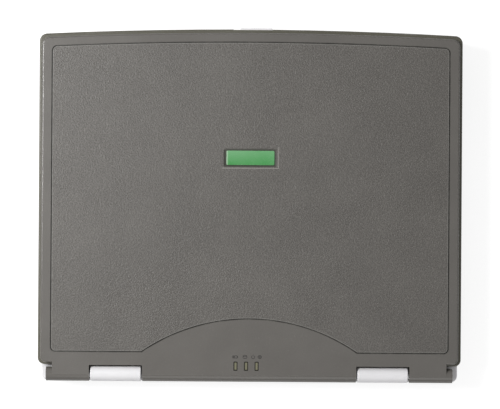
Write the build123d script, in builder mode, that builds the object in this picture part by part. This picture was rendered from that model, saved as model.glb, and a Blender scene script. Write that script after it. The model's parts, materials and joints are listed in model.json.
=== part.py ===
"""Portable computer with a display lid on two inset hinges, modelled closed.

Sizes are in millimetres. +Z is up, -Y is the front edge with the lid latch and +X is the
user's right hand. The origin is on the surface that the computer stands on, below the
middle of its outline.
"""
from build123d import *
from math import sqrt
import os

os.makedirs("parts", exist_ok=True)

# Driving dimensions: outline
case_width = 330.0
case_depth = 276.0
front_bow = 4.4
front_corner_radius = 6.0
rear_corner_radius = 5.0
base_side_inset = 2.0
base_front_inset = 1.0
latch_reach = 1.0

# Driving dimensions: heights
foot_height = 1.5
base_height = 25.0
split_height = 13.5
lid_gap = 0.6
lid_thickness = 11.4
bezel_thickness = 2.4

# Driving dimensions: walls
base_wall = 2.2
floor_thickness = 2.0
deck_thickness = 2.0
lid_skin = 2.0
rib_thickness = 1.2

# Driving dimensions: hinges
hinge_lift = 0.4
hinge_offset = 104.0
hinge_cover_length = 39.5
hinge_cover_margin = 0.8
hinge_cover_gap = 1.0

# Driving dimensions: clearances
seat_gap = 0.2
slide_gap = 0.3
panel_gap = 0.35
running_gap = 0.05
cut_reach = 1.0
root_depth = 0.5
pick_margin = 0.1

# Levels and edges that follow from the driving dimensions
half_width = case_width / 2
base_half_width = half_width - base_side_inset
rear_y = case_depth / 2
front_y = -case_depth / 2
lid_front_y = front_y + latch_reach
floor_top_z = foot_height + floor_thickness
split_z = foot_height + split_height
deck_z = foot_height + base_height
deck_under_z = deck_z - deck_thickness
lid_under_z = deck_z + lid_gap
parting_z = lid_under_z + bezel_thickness
lid_top_z = lid_under_z + lid_thickness
hinge_radius = (lid_thickness - hinge_lift) / 2
hinge_cover_depth = 2 * hinge_radius + hinge_cover_margin
hinge_y = rear_y - hinge_radius
hinge_z = lid_top_z - hinge_radius
bow_radius = (half_width**2 + front_bow**2) / (2 * front_bow)
bow_centre_y = lid_front_y + bow_radius
inner_half_width = base_half_width - base_wall
inner_rear_y = rear_y - base_wall


def bow_y(x, inset):
    """Y of the bowed front line, moved inward by inset, at x from the middle."""
    return bow_centre_y - sqrt((bow_radius - inset) ** 2 - x**2)


def bowed_outline(side_inset, front_inset, rear_edge, front_radius, rear_radius):
    """Plan outline with a bowed front edge, straight sides and a straight rear edge."""
    half = half_width - side_inset
    with BuildSketch() as outline:
        with BuildLine():
            front = ThreePointArc(
                (-half, bow_y(half, front_inset)),
                (0, bow_y(0, front_inset)),
                (half, bow_y(half, front_inset)),
            )
            Polyline(front @ 1, (half, rear_edge), (-half, rear_edge), front @ 0)
        make_face()
        fillet(outline.vertices().group_by(Axis.Y)[0], radius=front_radius)
        fillet(outline.vertices().group_by(Axis.Y)[-1], radius=rear_radius)
    return outline.sketch


def block(x_range, y_range, z_range, mode=Mode.ADD):
    """Rectangular block between two limits on each axis."""
    limits = (x_range, y_range, z_range)
    with Locations(tuple((low + high) / 2 for low, high in limits)):
        Box(*(high - low for low, high in limits), mode=mode)


def slab(outline, z_low, z_high, mode=Mode.ADD):
    """Plan outline extruded between two heights."""
    with BuildSketch(Plane.XY.offset(z_low)) as plan:
        add(outline)
    extrude(plan.sketch, amount=z_high - z_low, mode=mode)


def rounded_plan(x_range, y_range, radius):
    """Rectangle with rounded corners between two limits on X and Y."""
    with BuildSketch() as plan:
        with Locations(((x_range[0] + x_range[1]) / 2, (y_range[0] + y_range[1]) / 2)):
            RectangleRounded(x_range[1] - x_range[0], y_range[1] - y_range[0], radius)
    return plan.sketch


def grown(limits, gap):
    """The same pair of limits moved apart by gap at each end."""
    return (limits[0] - gap, limits[1] + gap)


def save(builder, name):
    """Label a finished piece and write it under its own name."""
    builder.part.label = name
    export_step(builder.part, f"parts/{name}.step")


# Lid cover: outer shell of the display lid
ledge_side = 2.3
ledge_front = 3.0
ledge_rear = 1.5
crown_height = 3.9
crown_wall = 2.4
front_wall_relief = 0.8
crown_edge_radius = 1.5
skirt_edge_radius = 1.2
wing_rear_margin = 0.1
tongue_side_inset = 11.6
barrel_side_inset = 6.7
barrel_wall = 2.0
barrel_front_lip = 1.5
wing_wall = 1.7
hinge_cutout_margin = 1.1
tongue_corner_radius = 0.5
pin_radius = 2.4
pin_hole_radius = 3.0

ledge_z = lid_top_z - crown_height
cavity_top_z = lid_top_z - lid_skin
cavity_side_inset = ledge_side + crown_wall
cavity_front_inset = ledge_front + crown_wall - front_wall_relief
cavity_half_width = half_width - cavity_side_inset
hinge_cutout_depth = hinge_cover_depth + hinge_cutout_margin
wing_rear_y = rear_y - hinge_cutout_depth - wing_rear_margin
cavity_rear_y = wing_rear_y - wing_wall
tongue_half_width = half_width - tongue_side_inset
barrel_half_length = half_width - barrel_side_inset
barrel_inner_radius = hinge_radius - barrel_wall
barrel_lip_y = hinge_y - barrel_front_lip
cutout_inner_x = hinge_offset - hinge_cover_length / 2 - hinge_cover_gap
cutout_outer_x = hinge_offset + hinge_cover_length / 2 + hinge_cover_gap
cutout_front_y = rear_y - hinge_cutout_depth

# Groove, badge recess, lamp windows and latch slot in the lid cover
groove_side_inset = 10.0
groove_width = 0.8
groove_depth = 0.8
groove_corner_radius = 4.0
groove_rear_inset = 23.0
arch_half_width = 83.7
arch_rise = 26.0
arch_fillet = 3.5
badge_rear_inset = 174.7
badge_length = 37.4
badge_width = 11.2
badge_thickness = 0.7
badge_radius = 1.0
badge_chamfer = 0.2
badge_recess_length = 42.0
badge_recess_width = 14.7
badge_recess_depth = 1.1
badge_recess_draft = 55.0
badge_recess_radius = 1.5
badge_backing = 0.4
window_pitch = 8.2
window_offset = 2.4
window_width = 3.3
window_length = 7.3
window_rear_inset = 12.6
window_radius = 0.6
latch_offset = -4.0
latch_length = 25.0
latch_height = 4.0
latch_travel = 5.0
latch_gap = 0.3

badge_y = rear_y - badge_rear_inset
badge_floor_z = lid_top_z - badge_recess_depth
window_y = rear_y - window_rear_inset
window_places = [(window_offset + step * window_pitch, window_y) for step in (-1, 0, 1)]
latch_z = (parting_z + ledge_z) / 2
latch_x = (latch_offset - latch_length / 2, latch_offset + latch_length / 2)

groove_rear_y = rear_y - groove_rear_inset
with BuildSketch() as groove_panel:
    groove_half = half_width - groove_side_inset
    with BuildLine():
        groove_front = ThreePointArc(
            (-groove_half, bow_y(groove_half, groove_side_inset)),
            (0, bow_y(0, groove_side_inset)),
            (groove_half, bow_y(groove_half, groove_side_inset)),
        )
        right_run = Polyline(
            groove_front @ 1, (groove_half, groove_rear_y), (arch_half_width, groove_rear_y)
        )
        arch = ThreePointArc(
            right_run @ 1, (0, groove_rear_y - arch_rise), (-arch_half_width, groove_rear_y)
        )
        Polyline(arch @ 1, (-groove_half, groove_rear_y), groove_front @ 0)
    make_face()
    outer_corners = groove_panel.vertices().filter_by(
        lambda v: abs(v.X) > groove_half - pick_margin
    )
    fillet(outer_corners, radius=groove_corner_radius)
    arch_corners = groove_panel.vertices().filter_by(
        lambda v: abs(abs(v.X) - arch_half_width) < pick_margin
    )
    fillet(arch_corners, radius=arch_fillet)
with BuildSketch() as groove_ring:
    add(groove_panel.sketch)
    offset(groove_panel.sketch, amount=-groove_width, mode=Mode.SUBTRACT)

skirt_outline = bowed_outline(0, 0, wing_rear_y, front_corner_radius, rear_corner_radius)
crown_outline = bowed_outline(
    ledge_side, ledge_front, wing_rear_y - ledge_rear, front_corner_radius, rear_corner_radius
)
cavity_outline = bowed_outline(
    cavity_side_inset, cavity_front_inset, cavity_rear_y, crown_wall, crown_wall
)
tongue_start_y = groove_rear_y - arch_rise
tongue_outline = rounded_plan(
    (-tongue_half_width, tongue_half_width), (tongue_start_y, hinge_y), tongue_corner_radius
)
tongue_bays = [
    (-tongue_half_width + barrel_wall, -cutout_outer_x - barrel_wall),
    (-cutout_inner_x + barrel_wall, cutout_inner_x - barrel_wall),
    (cutout_outer_x + barrel_wall, tongue_half_width - barrel_wall),
]
inverter_post_offset = 50.0
inverter_rear_gap = 5.3
inverter_y = cavity_rear_y - inverter_rear_gap
inverter_posts = [(side * inverter_post_offset, inverter_y) for side in (-1, 1)]
inverter_post_radius = 2.0
inverter_post_length = 2.9
screw_side_inset = 2.7
bezel_screw_y = (-100.0, 90.0)
bezel_screw_places = [
    (side * (half_width - screw_side_inset), y) for side in (-1, 1) for y in bezel_screw_y
]
bezel_screw_radius = 0.9


def cut_hinge_notches(z_low, z_high):
    """Two notches in the rear edge of the lid, one round each hinge cover."""
    for side in (-1, 1):
        x_range = sorted((side * cutout_inner_x, side * cutout_outer_x))
        block(x_range, (cutout_front_y, rear_y + cut_reach), (z_low, z_high), mode=Mode.SUBTRACT)


with BuildPart() as lid_cover:
    slab(skirt_outline, parting_z, ledge_z)
    skirt_top = lid_cover.edges().group_by(Axis.Z)[-1]
    fillet(skirt_top, radius=skirt_edge_radius)
    slab(crown_outline, parting_z, lid_top_z)
    slab(tongue_outline, parting_z, lid_top_z)
    crown_top = lid_cover.edges().group_by(Axis.Z)[-1]
    crown_rear_y = wing_rear_y - ledge_rear
    crown_rim = crown_top.filter_by(lambda e: e.center().Y < crown_rear_y + pick_margin)
    fillet(crown_rim, radius=crown_edge_radius)
    with BuildSketch(Plane.YZ):
        with Locations((hinge_y, hinge_z)):
            Circle(hinge_radius)
    extrude(amount=barrel_half_length, both=True)
    barrel_front = (tongue_start_y, barrel_lip_y)
    full_width = (-half_width, half_width)
    block(full_width, barrel_front, (lid_under_z - cut_reach, parting_z), mode=Mode.SUBTRACT)
    slab(cavity_outline, parting_z, cavity_top_z, mode=Mode.SUBTRACT)
    for bay_low, bay_high in tongue_bays:
        with BuildSketch(Plane.YZ.offset(bay_low)):
            with BuildLine():
                Polyline(
                    (cavity_rear_y - cut_reach, parting_z),
                    (barrel_lip_y, parting_z),
                    (barrel_lip_y, hinge_z),
                    (hinge_y, hinge_z),
                    (hinge_y, cavity_top_z),
                    (cavity_rear_y - cut_reach, cavity_top_z),
                    close=True,
                )
            make_face()
            with Locations((hinge_y, hinge_z)):
                Circle(barrel_inner_radius)
        extrude(amount=bay_high - bay_low, mode=Mode.SUBTRACT)
    cut_hinge_notches(lid_under_z - cut_reach, lid_top_z + cut_reach)
    for side in (-1, 1):
        with BuildSketch(Plane.YZ.offset(side * (cutout_outer_x + barrel_wall / 2))):
            with Locations((hinge_y, hinge_z)):
                Circle(pin_hole_radius)
        extrude(amount=barrel_wall, both=True, mode=Mode.SUBTRACT)
    with BuildSketch(Plane.XY.offset(lid_top_z)):
        add(groove_ring.sketch)
    extrude(amount=-groove_depth, mode=Mode.SUBTRACT)
    with BuildSketch(Plane.XY.offset(cavity_top_z)):
        with Locations((0, badge_y)):
            Rectangle(badge_recess_length, badge_recess_width)
    extrude(amount=-badge_backing)
    with BuildSketch(Plane.XY.offset(lid_top_z)):
        with Locations((0, badge_y)):
            RectangleRounded(badge_recess_length, badge_recess_width, badge_recess_radius)
    extrude(amount=-badge_recess_depth, taper=badge_recess_draft, mode=Mode.SUBTRACT)
    with BuildSketch(Plane.XY.offset(cavity_top_z - cut_reach)):
        with Locations(*window_places):
            RectangleRounded(window_width, window_length, window_radius)
    extrude(amount=lid_skin + 2 * cut_reach, mode=Mode.SUBTRACT)
    with Locations(*[(x, y, cavity_top_z - inverter_post_length / 2) for x, y in inverter_posts]):
        Cylinder(inverter_post_radius, inverter_post_length)
    slot_x = (latch_x[0] - latch_gap, latch_x[1] + latch_travel + latch_gap)
    slot_z = grown((latch_z - latch_height / 2, latch_z + latch_height / 2), latch_gap)
    slot_y = (front_y, bow_y(0, cavity_front_inset) + 2 * cut_reach)
    block(slot_x, slot_y, slot_z, mode=Mode.SUBTRACT)
    with Locations(*[(x, y, parting_z) for x, y in bezel_screw_places]):
        Cylinder(bezel_screw_radius, 2 * lid_skin, mode=Mode.SUBTRACT)
save(lid_cover, "lid_cover")

with BuildPart() as lid_badge:
    with BuildSketch(Plane.XY.offset(badge_floor_z)):
        with Locations((0, badge_y)):
            RectangleRounded(badge_length, badge_width, badge_radius)
    extrude(amount=badge_thickness)
    chamfer(lid_badge.edges().group_by(Axis.Z)[-1], length=badge_chamfer)
save(lid_badge, "lid_badge")

# Status lenses: three clear light guides on one strip below their windows
lens_gap = 0.15
lens_recess = 0.2
lens_strip_height = 1.2
lens_strip_length = 26.0
lens_strip_width = 8.4
lens_strip_radius = 1.0

with BuildPart() as status_lenses:
    with BuildSketch(Plane.XY.offset(cavity_top_z)):
        with Locations((window_offset, window_y)):
            RectangleRounded(lens_strip_length, lens_strip_width, lens_strip_radius)
    extrude(amount=-lens_strip_height)
    with BuildSketch(Plane.XY.offset(cavity_top_z)):
        with Locations(*window_places):
            RectangleRounded(
                window_width - 2 * lens_gap, window_length - 2 * lens_gap, window_radius - lens_gap
            )
    extrude(amount=lid_skin - lens_recess)
save(status_lenses, "status_lenses")

# Display panel: metal frame, glass and backlight lamp
panel_side_gap = 1.6
panel_front_gap = 0.4
inverter_bay_depth = 9.3
panel_thickness = 6.0
panel_radius = 1.0
panel_lift = 0.5
glass_margin = 4.6
glass_thickness = 1.1
glass_radius = 0.5
view_margin_side = 6.6
view_margin_front = 6.0
view_margin_rear = 8.0
lamp_radius = 1.2
lamp_end_gap = 8.0
lamp_cap_length = 4.0
lamp_trough_width = 4.0
lamp_trough_depth = 4.0
lamp_trough_gap = 1.0
lamp_rear_inset = 3.8

panel_half_width = cavity_half_width - panel_side_gap
panel_front_y = bow_y(panel_half_width, cavity_front_inset) + panel_front_gap
panel_rear_y = cavity_rear_y - inverter_bay_depth
panel_under_z = parting_z + panel_lift
panel_top_z = panel_under_z + panel_thickness
panel_x = (-panel_half_width, panel_half_width)
panel_y = (panel_front_y, panel_rear_y)
glass_x = grown(panel_x, -glass_margin)
glass_y = grown(panel_y, -glass_margin)
view_x = grown(panel_x, -view_margin_side)
view_y = (panel_front_y + view_margin_front, panel_rear_y - view_margin_rear)
lamp_y = panel_rear_y - lamp_rear_inset
lamp_x = grown(panel_x, -lamp_end_gap)
lamp_trough_y = (lamp_y - lamp_trough_width / 2, lamp_y + lamp_trough_width / 2)
lamp_z = panel_top_z - lamp_trough_depth + lamp_radius + seat_gap

with BuildPart() as lcd_frame:
    slab(rounded_plan(panel_x, panel_y, panel_radius), panel_under_z, panel_top_z)
    glass_pocket = (panel_under_z, panel_under_z + glass_thickness + seat_gap)
    pocket_plan = rounded_plan(grown(glass_x, seat_gap), grown(glass_y, seat_gap), glass_radius)
    slab(pocket_plan, *glass_pocket, mode=Mode.SUBTRACT)
    trough_z = (panel_top_z - lamp_trough_depth, panel_top_z)
    block(grown(lamp_x, lamp_trough_gap), lamp_trough_y, trough_z, mode=Mode.SUBTRACT)
save(lcd_frame, "lcd_frame")

with BuildPart() as lcd_glass:
    glass_z = (panel_under_z + seat_gap, panel_under_z + seat_gap + glass_thickness)
    slab(rounded_plan(glass_x, glass_y, glass_radius), *glass_z)
save(lcd_glass, "lcd_glass")

with BuildPart() as lamp_tube:
    with BuildSketch(Plane.YZ.offset(lamp_x[0])):
        with Locations((lamp_y, lamp_z)):
            Circle(lamp_radius)
    extrude(amount=lamp_x[1] - lamp_x[0])
    for end_x in (lamp_x[0], lamp_x[1] - lamp_cap_length):
        with BuildSketch(Plane.YZ.offset(end_x)):
            with Locations((lamp_y, lamp_z)):
                Circle(lamp_radius + seat_gap / 2)
        extrude(amount=lamp_cap_length)
save(lamp_tube, "lamp_tube")

# Inverter board: drives the lamp and carries the three status lights
inverter_half_length = 60.0
inverter_width = 7.6
inverter_thickness = 1.2
inverter_radius = 0.8
inverter_tab_reach = 2.4
transformer_size = (22.0, 6.0, 2.3)
transformer_spacing = 57.2
light_height = 1.0
light_setback = 1.0

inverter_top_z = cavity_top_z - inverter_post_length
inverter_tab_y = (inverter_y, window_y + inverter_tab_reach)

with BuildPart() as inverter_board:
    inverter_z = (inverter_top_z - inverter_thickness, inverter_top_z)
    strip_plan = rounded_plan(
        (-inverter_half_length, inverter_half_length),
        grown((inverter_y, inverter_y), inverter_width / 2),
        inverter_radius,
    )
    slab(strip_plan, *inverter_z)
    tab_x = (window_offset - lens_strip_length / 2, window_offset + lens_strip_length / 2)
    slab(rounded_plan(tab_x, inverter_tab_y, inverter_radius), *inverter_z)
    with Locations((0, inverter_y, inverter_z[0] - transformer_size[2] / 2)):
        with GridLocations(transformer_spacing, 0, 2, 1):
            Box(*transformer_size)
    light_z = inverter_top_z + light_height / 2
    with Locations(*[(x, y - light_setback, light_z) for x, y in window_places]):
        Box(window_width / 2, window_width / 2, light_height)
save(inverter_board, "inverter_board")

# Screen bezel: the face of the lid round the display
bezel_edge_inset = 0.3
bezel_edge_radius = 1.0
bezel_rear_gap = 0.2
bezel_corner_radius = 0.5
view_corner_radius = 1.0
view_bevel = 1.4
view_clearance = 0.6
hook_offset = 60.0
hook_width = 3.0
hook_nose = 1.6
bar_thickness = 2.6
bar_height = 3.2
bar_half_length = 66.0
bar_lift = 0.8
bar_wall_gap = 0.5
hook_slot_gap = 0.7
hook_reach = 3.9
bumper_radius = 3.4
bumper_height = 0.5
bumper_recess = 0.6
bumper_chamfer = 0.2
bumper_side_inset = 6.4
bumper_front_inset = 7.5
bumper_rear_y = 20.0
screw_head_radius = 1.9
screw_head_depth = 1.1

bar_front_y = bow_y(bar_half_length, cavity_front_inset) + bar_wall_gap
bar_y = (bar_front_y, bar_front_y + bar_thickness)
hook_places = [side * hook_offset for side in (-1, 1)]
bumper_x = half_width - bumper_side_inset
bumper_y = (bow_y(bumper_x, 0) + bumper_front_inset, bumper_rear_y)
bumper_places = [(side * bumper_x, y) for side in (-1, 1) for y in bumper_y]


def hook_slot(x):
    """Limits on X of the slot that a latch hook at x needs over its whole travel."""
    start = x - hook_width / 2 - hook_nose - hook_slot_gap
    end = x + hook_width / 2 + latch_travel + hook_slot_gap
    return (start, end)


bezel_outline = bowed_outline(
    bezel_edge_inset,
    bezel_edge_inset,
    wing_rear_y - bezel_edge_inset,
    front_corner_radius,
    rear_corner_radius,
)
bezel_tongue_x = grown((-tongue_half_width, tongue_half_width), -bezel_edge_inset)
bezel_tongue_y = (panel_rear_y, barrel_lip_y - bezel_rear_gap)

with BuildPart() as screen_bezel:
    slab(bezel_outline, lid_under_z, parting_z)
    fillet(screen_bezel.edges().group_by(Axis.Z)[0], radius=bezel_edge_radius)
    tongue_plan = rounded_plan(bezel_tongue_x, bezel_tongue_y, bezel_corner_radius)
    slab(tongue_plan, lid_under_z, parting_z)
    opening_x = grown(view_x, view_clearance)
    opening_y = grown(view_y, view_clearance)
    view_plan = rounded_plan(opening_x, opening_y, view_corner_radius)
    slab(view_plan, lid_under_z, parting_z, mode=Mode.SUBTRACT)
    pick_x = grown(opening_x, pick_margin)
    pick_y = grown(opening_y, pick_margin)
    under_edges = screen_bezel.edges().group_by(Axis.Z)[0]
    side_rim = under_edges.filter_by(lambda e: pick_x[0] < e.center().X < pick_x[1])
    view_rim = side_rim.filter_by(lambda e: pick_y[0] < e.center().Y < pick_y[1])
    chamfer(view_rim, length=view_bevel)
    cut_hinge_notches(lid_under_z - cut_reach, parting_z + cut_reach)
    for hook_x in hook_places:
        bezel_slot_y = grown(bar_y, hook_slot_gap / 2)
        block(hook_slot(hook_x), bezel_slot_y, (lid_under_z, parting_z), mode=Mode.SUBTRACT)
    with Locations(*[(x, y, lid_under_z + bumper_recess / 2) for x, y in bumper_places]):
        Cylinder(bumper_radius + seat_gap / 2, bumper_recess, mode=Mode.SUBTRACT)
    with Locations(*[(x, y, lid_under_z + bezel_thickness / 2) for x, y in bezel_screw_places]):
        Cylinder(bezel_screw_radius, bezel_thickness, mode=Mode.SUBTRACT)
    with Locations(*[(x, y, lid_under_z + screw_head_depth / 2) for x, y in bezel_screw_places]):
        Cylinder(screw_head_radius + seat_gap / 2, screw_head_depth, mode=Mode.SUBTRACT)
save(screen_bezel, "screen_bezel")

with BuildPart() as bezel_bumpers:
    bumper_thickness = bumper_recess + bumper_height
    with Locations(
        *[(x, y, lid_under_z + bumper_recess - bumper_thickness / 2) for x, y in bumper_places]
    ):
        Cylinder(bumper_radius, bumper_thickness)
    chamfer(bezel_bumpers.edges().group_by(Axis.Z)[0], length=bumper_chamfer)
save(bezel_bumpers, "bezel_bumpers")

with BuildPart() as bezel_screws:
    shank_top_z = parting_z + lid_skin - seat_gap
    head_top_z = lid_under_z + screw_head_depth
    with BuildSketch(Plane.XY.offset(lid_under_z + seat_gap)):
        with Locations(*bezel_screw_places):
            Circle(screw_head_radius)
    extrude(amount=head_top_z - lid_under_z - seat_gap)
    with BuildSketch(Plane.XY.offset(head_top_z)):
        with Locations(*bezel_screw_places):
            Circle(bezel_screw_radius - running_gap)
    extrude(amount=shank_top_z - head_top_z)
save(bezel_screws, "bezel_screws")

# Latch: ribbed button on the front edge and the hook bar behind it
latch_rib_count = 7
latch_rib_pitch = 2.6
latch_rib_depth = 0.4
latch_rib_width = 1.0
latch_rib_inset = 0.6
latch_corner_radius = 0.8
latch_edge_radius = 0.35

bar_z = (parting_z + bar_lift, parting_z + bar_lift + bar_height)
latch_inner_y = bar_y[0]

with BuildPart() as latch_button:
    with BuildSketch(Plane.XZ.offset(-front_y)):
        with Locations((latch_offset, latch_z)):
            RectangleRounded(latch_length, latch_height, latch_corner_radius)
    extrude(amount=-(latch_inner_y - front_y))
    front_face = latch_button.faces().sort_by(Axis.Y)[0]
    fillet(front_face.edges(), radius=latch_edge_radius)
    with BuildSketch(Plane.XZ.offset(-front_y)):
        with Locations((latch_offset, latch_z)):
            with GridLocations(latch_rib_pitch, 0, latch_rib_count, 1):
                Rectangle(latch_rib_width, latch_height - 2 * latch_rib_inset)
    extrude(amount=-latch_rib_depth, mode=Mode.SUBTRACT)
save(latch_button, "latch_button")

with BuildPart() as latch_bar:
    block((-bar_half_length, bar_half_length), bar_y, bar_z)
    hook_tip_z = deck_z - hook_reach
    for hook_x in hook_places:
        with BuildSketch(Plane.XZ.offset(-bar_y[0])):
            with BuildLine():
                Polyline(
                    (hook_x - hook_width / 2, bar_z[0]),
                    (hook_x - hook_width / 2, hook_tip_z + hook_nose),
                    (hook_x - hook_width / 2 - hook_nose, hook_tip_z + hook_nose),
                    (hook_x - hook_width / 2, hook_tip_z),
                    (hook_x + hook_width / 2, hook_tip_z),
                    (hook_x + hook_width / 2, bar_z[0]),
                    close=True,
                )
            make_face()
        extrude(amount=-bar_thickness)
save(latch_bar, "latch_bar")

# Hinges: a steel arm fixed to the display and a friction clip fixed to the base
arm_thickness = 1.6
arm_flange = 1.2
arm_front_y = 40.0
arm_leaf_reach = 2.0
leaf_side_gap = 1.0
flange_reach = 4.0
flange_inset = 0.6
pin_overlap = 4.0
pin_inner_inset = 6.0
clip_wall_gap = 1.4
clip_length = 24.0
bracket_foot_size = (30.0, 7.4, 1.5)
bracket_foot_radius = 1.0
clip_neck = 3.0

arm_z = (hinge_z - arm_thickness / 2, hinge_z + arm_thickness / 2)
arm_outer_x = panel_half_width + seat_gap / 2 + arm_flange
arm_leaf_end_y = hinge_y + arm_leaf_reach
leaf_inner_x = cutout_outer_x + barrel_wall + leaf_side_gap
leaf_rear_x = tongue_half_width - barrel_wall - leaf_side_gap
pin_start_x = cutout_inner_x + hinge_cover_gap + pin_inner_inset
pin_end_x = leaf_inner_x + pin_overlap
clip_radius = hinge_radius - clip_wall_gap

with BuildPart() as hinge_arm_right:
    with BuildSketch(Plane.YZ.offset(pin_start_x)):
        with Locations((hinge_y, hinge_z)):
            Circle(pin_radius)
    extrude(amount=pin_end_x - pin_start_x)
    with BuildSketch(Plane.XY.offset(arm_z[0])):
        with BuildLine():
            Polyline(
                (leaf_inner_x, arm_leaf_end_y),
                (leaf_rear_x, arm_leaf_end_y),
                (leaf_rear_x, cavity_rear_y - seat_gap),
                (arm_outer_x, cavity_rear_y - crown_wall),
                (arm_outer_x, panel_rear_y + seat_gap),
                (leaf_inner_x, panel_rear_y + seat_gap),
                close=True,
            )
        make_face()
    extrude(amount=arm_thickness)
    flange_x = (arm_outer_x - arm_flange, arm_outer_x)
    flange_z = grown((panel_under_z, panel_top_z), -flange_inset)
    block(flange_x, (arm_front_y, panel_rear_y + flange_reach), flange_z)
save(hinge_arm_right, "hinge_arm_right")

with BuildPart() as hinge_arm_left:
    add(mirror(hinge_arm_right.part, about=Plane.YZ, mode=Mode.PRIVATE))
save(hinge_arm_left, "hinge_arm_left")

with BuildPart() as hinge_bracket_right:
    clip_x = (hinge_offset - clip_length / 2, hinge_offset + clip_length / 2)
    with BuildSketch(Plane.YZ.offset(clip_x[0])):
        with Locations((hinge_y, hinge_z)):
            Circle(clip_radius)
        with BuildLine():
            Polyline(
                (hinge_y - clip_neck / 2, hinge_z),
                (hinge_y - clip_neck / 2, deck_z),
                (hinge_y + clip_neck / 2, deck_z),
                (hinge_y + clip_neck / 2, hinge_z),
                close=True,
            )
        make_face()
        with Locations((hinge_y, hinge_z)):
            Circle(pin_radius + running_gap, mode=Mode.SUBTRACT)
    extrude(amount=clip_length)
    foot_x = grown((hinge_offset, hinge_offset), bracket_foot_size[0] / 2)
    foot_y = grown((hinge_y, hinge_y), bracket_foot_size[1] / 2)
    foot_plan = rounded_plan(foot_x, foot_y, bracket_foot_radius)
    slab(foot_plan, deck_z, deck_z + bracket_foot_size[2])
save(hinge_bracket_right, "hinge_bracket_right")

with BuildPart() as hinge_bracket_left:
    add(mirror(hinge_bracket_right.part, about=Plane.YZ, mode=Mode.PRIVATE))
save(hinge_bracket_left, "hinge_bracket_left")

# Hinge covers: rounded caps that stand on the base in the notches of the lid
cover_wall = 1.2
cover_end_radius = 0.8
cover_front_y = rear_y - hinge_cover_depth

with BuildPart() as hinge_cover_right:
    with BuildSketch(Plane.YZ.offset(hinge_offset - hinge_cover_length / 2)):
        with BuildLine():
            cover_sides = Polyline(
                (cover_front_y, hinge_z), (cover_front_y, deck_z), (rear_y, deck_z), (rear_y, hinge_z)
            )
            ThreePointArc(
                cover_sides @ 1, ((cover_front_y + rear_y) / 2, lid_top_z), cover_sides @ 0
            )
        make_face()
    extrude(amount=hinge_cover_length)
    end_faces = hinge_cover_right.faces().filter_by(Axis.X)
    end_rims = end_faces.edges().filter_by(lambda e: e.center().Z > deck_z + pick_margin)
    fillet(end_rims, radius=cover_end_radius)
    inner_x = hinge_offset - hinge_cover_length / 2 + cover_wall
    with BuildSketch(Plane.YZ.offset(inner_x)):
        with BuildLine():
            cavity_sides = Polyline(
                (cover_front_y + cover_wall, hinge_z),
                (cover_front_y + cover_wall, deck_z),
                (rear_y - cover_wall, deck_z),
                (rear_y - cover_wall, hinge_z),
            )
            ThreePointArc(
                cavity_sides @ 1,
                ((cover_front_y + rear_y) / 2, lid_top_z - cover_wall),
                cavity_sides @ 0,
            )
        make_face()
    extrude(amount=hinge_cover_length - 2 * cover_wall, mode=Mode.SUBTRACT)
    pin_wall_x = hinge_offset + hinge_cover_length / 2 - cover_wall
    with BuildSketch(Plane.YZ.offset(pin_wall_x - cut_reach)):
        with Locations((hinge_y, hinge_z)):
            Circle(pin_hole_radius)
    extrude(amount=cover_wall + 2 * cut_reach, mode=Mode.SUBTRACT)
save(hinge_cover_right, "hinge_cover_right")

with BuildPart() as hinge_cover_left:
    add(mirror(hinge_cover_right.part, about=Plane.YZ, mode=Mode.PRIVATE))
save(hinge_cover_left, "hinge_cover_left")

# Keyboard: size of the key field and places of the keys
key_pitch = 19.05
key_gap = 1.3
function_pitch = 15.0
key_height = 3.5
key_draft = 20.0
key_top_drop = 0.5
key_travel = 2.2
stem_size = 4.0
stem_reach = 3.3
stem_gap = 0.3
plate_thickness = 1.2
plate_drop = 0.2
palm_rest_depth = 112.0
rim_width = 1.5
rim_drop = 0.8
bar_key_stem_share = 0.36
long_key_units = 3.0
frame_radius = 1.5
well_radius = 0.5
main_row_count = 5
row_units = 15.5
function_key_count = 16

function_row = [row_units / function_key_count] * function_key_count
number_row = [1.0] * 13 + [1.5, 1.0]
upper_row = [1.5] + [1.0] * 14
home_row = [1.75] + [1.0] * 11 + [1.75, 1.0]
lower_row = [2.25] + [1.0] * 10 + [1.25, 1.0, 1.0]
bottom_row = [1.25] + [1.0] * 3 + [5.25] + [1.0] * 6
space_bar_index = 4
row_widths = [bottom_row, lower_row, home_row, upper_row, number_row, function_row]
row_names = [
    "bottom_keys",
    "shift_row_keys",
    "home_row_keys",
    "upper_row_keys",
    "number_keys",
    "function_keys",
]

field_width = row_units * key_pitch
field_depth = main_row_count * key_pitch + function_pitch
base_front_y = lid_front_y + base_front_inset
frame_front_y = base_front_y + palm_rest_depth
frame_x = grown((-field_width / 2, field_width / 2), rim_width)
frame_y = (frame_front_y, frame_front_y + field_depth + 2 * rim_width)
key_top_z = deck_z - key_top_drop
key_under_z = key_top_z - key_height
plate_top_z = key_under_z - key_travel - plate_drop
plate_under_z = plate_top_z - plate_thickness


def row_y(row):
    """Middle of a row of keys on Y, counted from the front."""
    start = frame_y[0] + rim_width
    if row < main_row_count:
        return start + row * key_pitch + key_pitch / 2
    return start + main_row_count * key_pitch + function_pitch / 2


def row_keys(row):
    """Middle on X and width of every key in a row."""
    keys = []
    edge = -field_width / 2
    for width in row_widths[row]:
        keys.append((edge + width * key_pitch / 2, width * key_pitch - key_gap))
        edge += width * key_pitch
    return keys


def row_depth(row):
    """Depth on Y of the keys in a row."""
    return (key_pitch if row < main_row_count else function_pitch) - key_gap


def stem_places(x, width, y):
    """One guide stem below a key, or two below a long key."""
    if width > long_key_units * key_pitch:
        return [(x - width * bar_key_stem_share, y), (x + width * bar_key_stem_share, y)]
    return [(x, y)]


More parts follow.
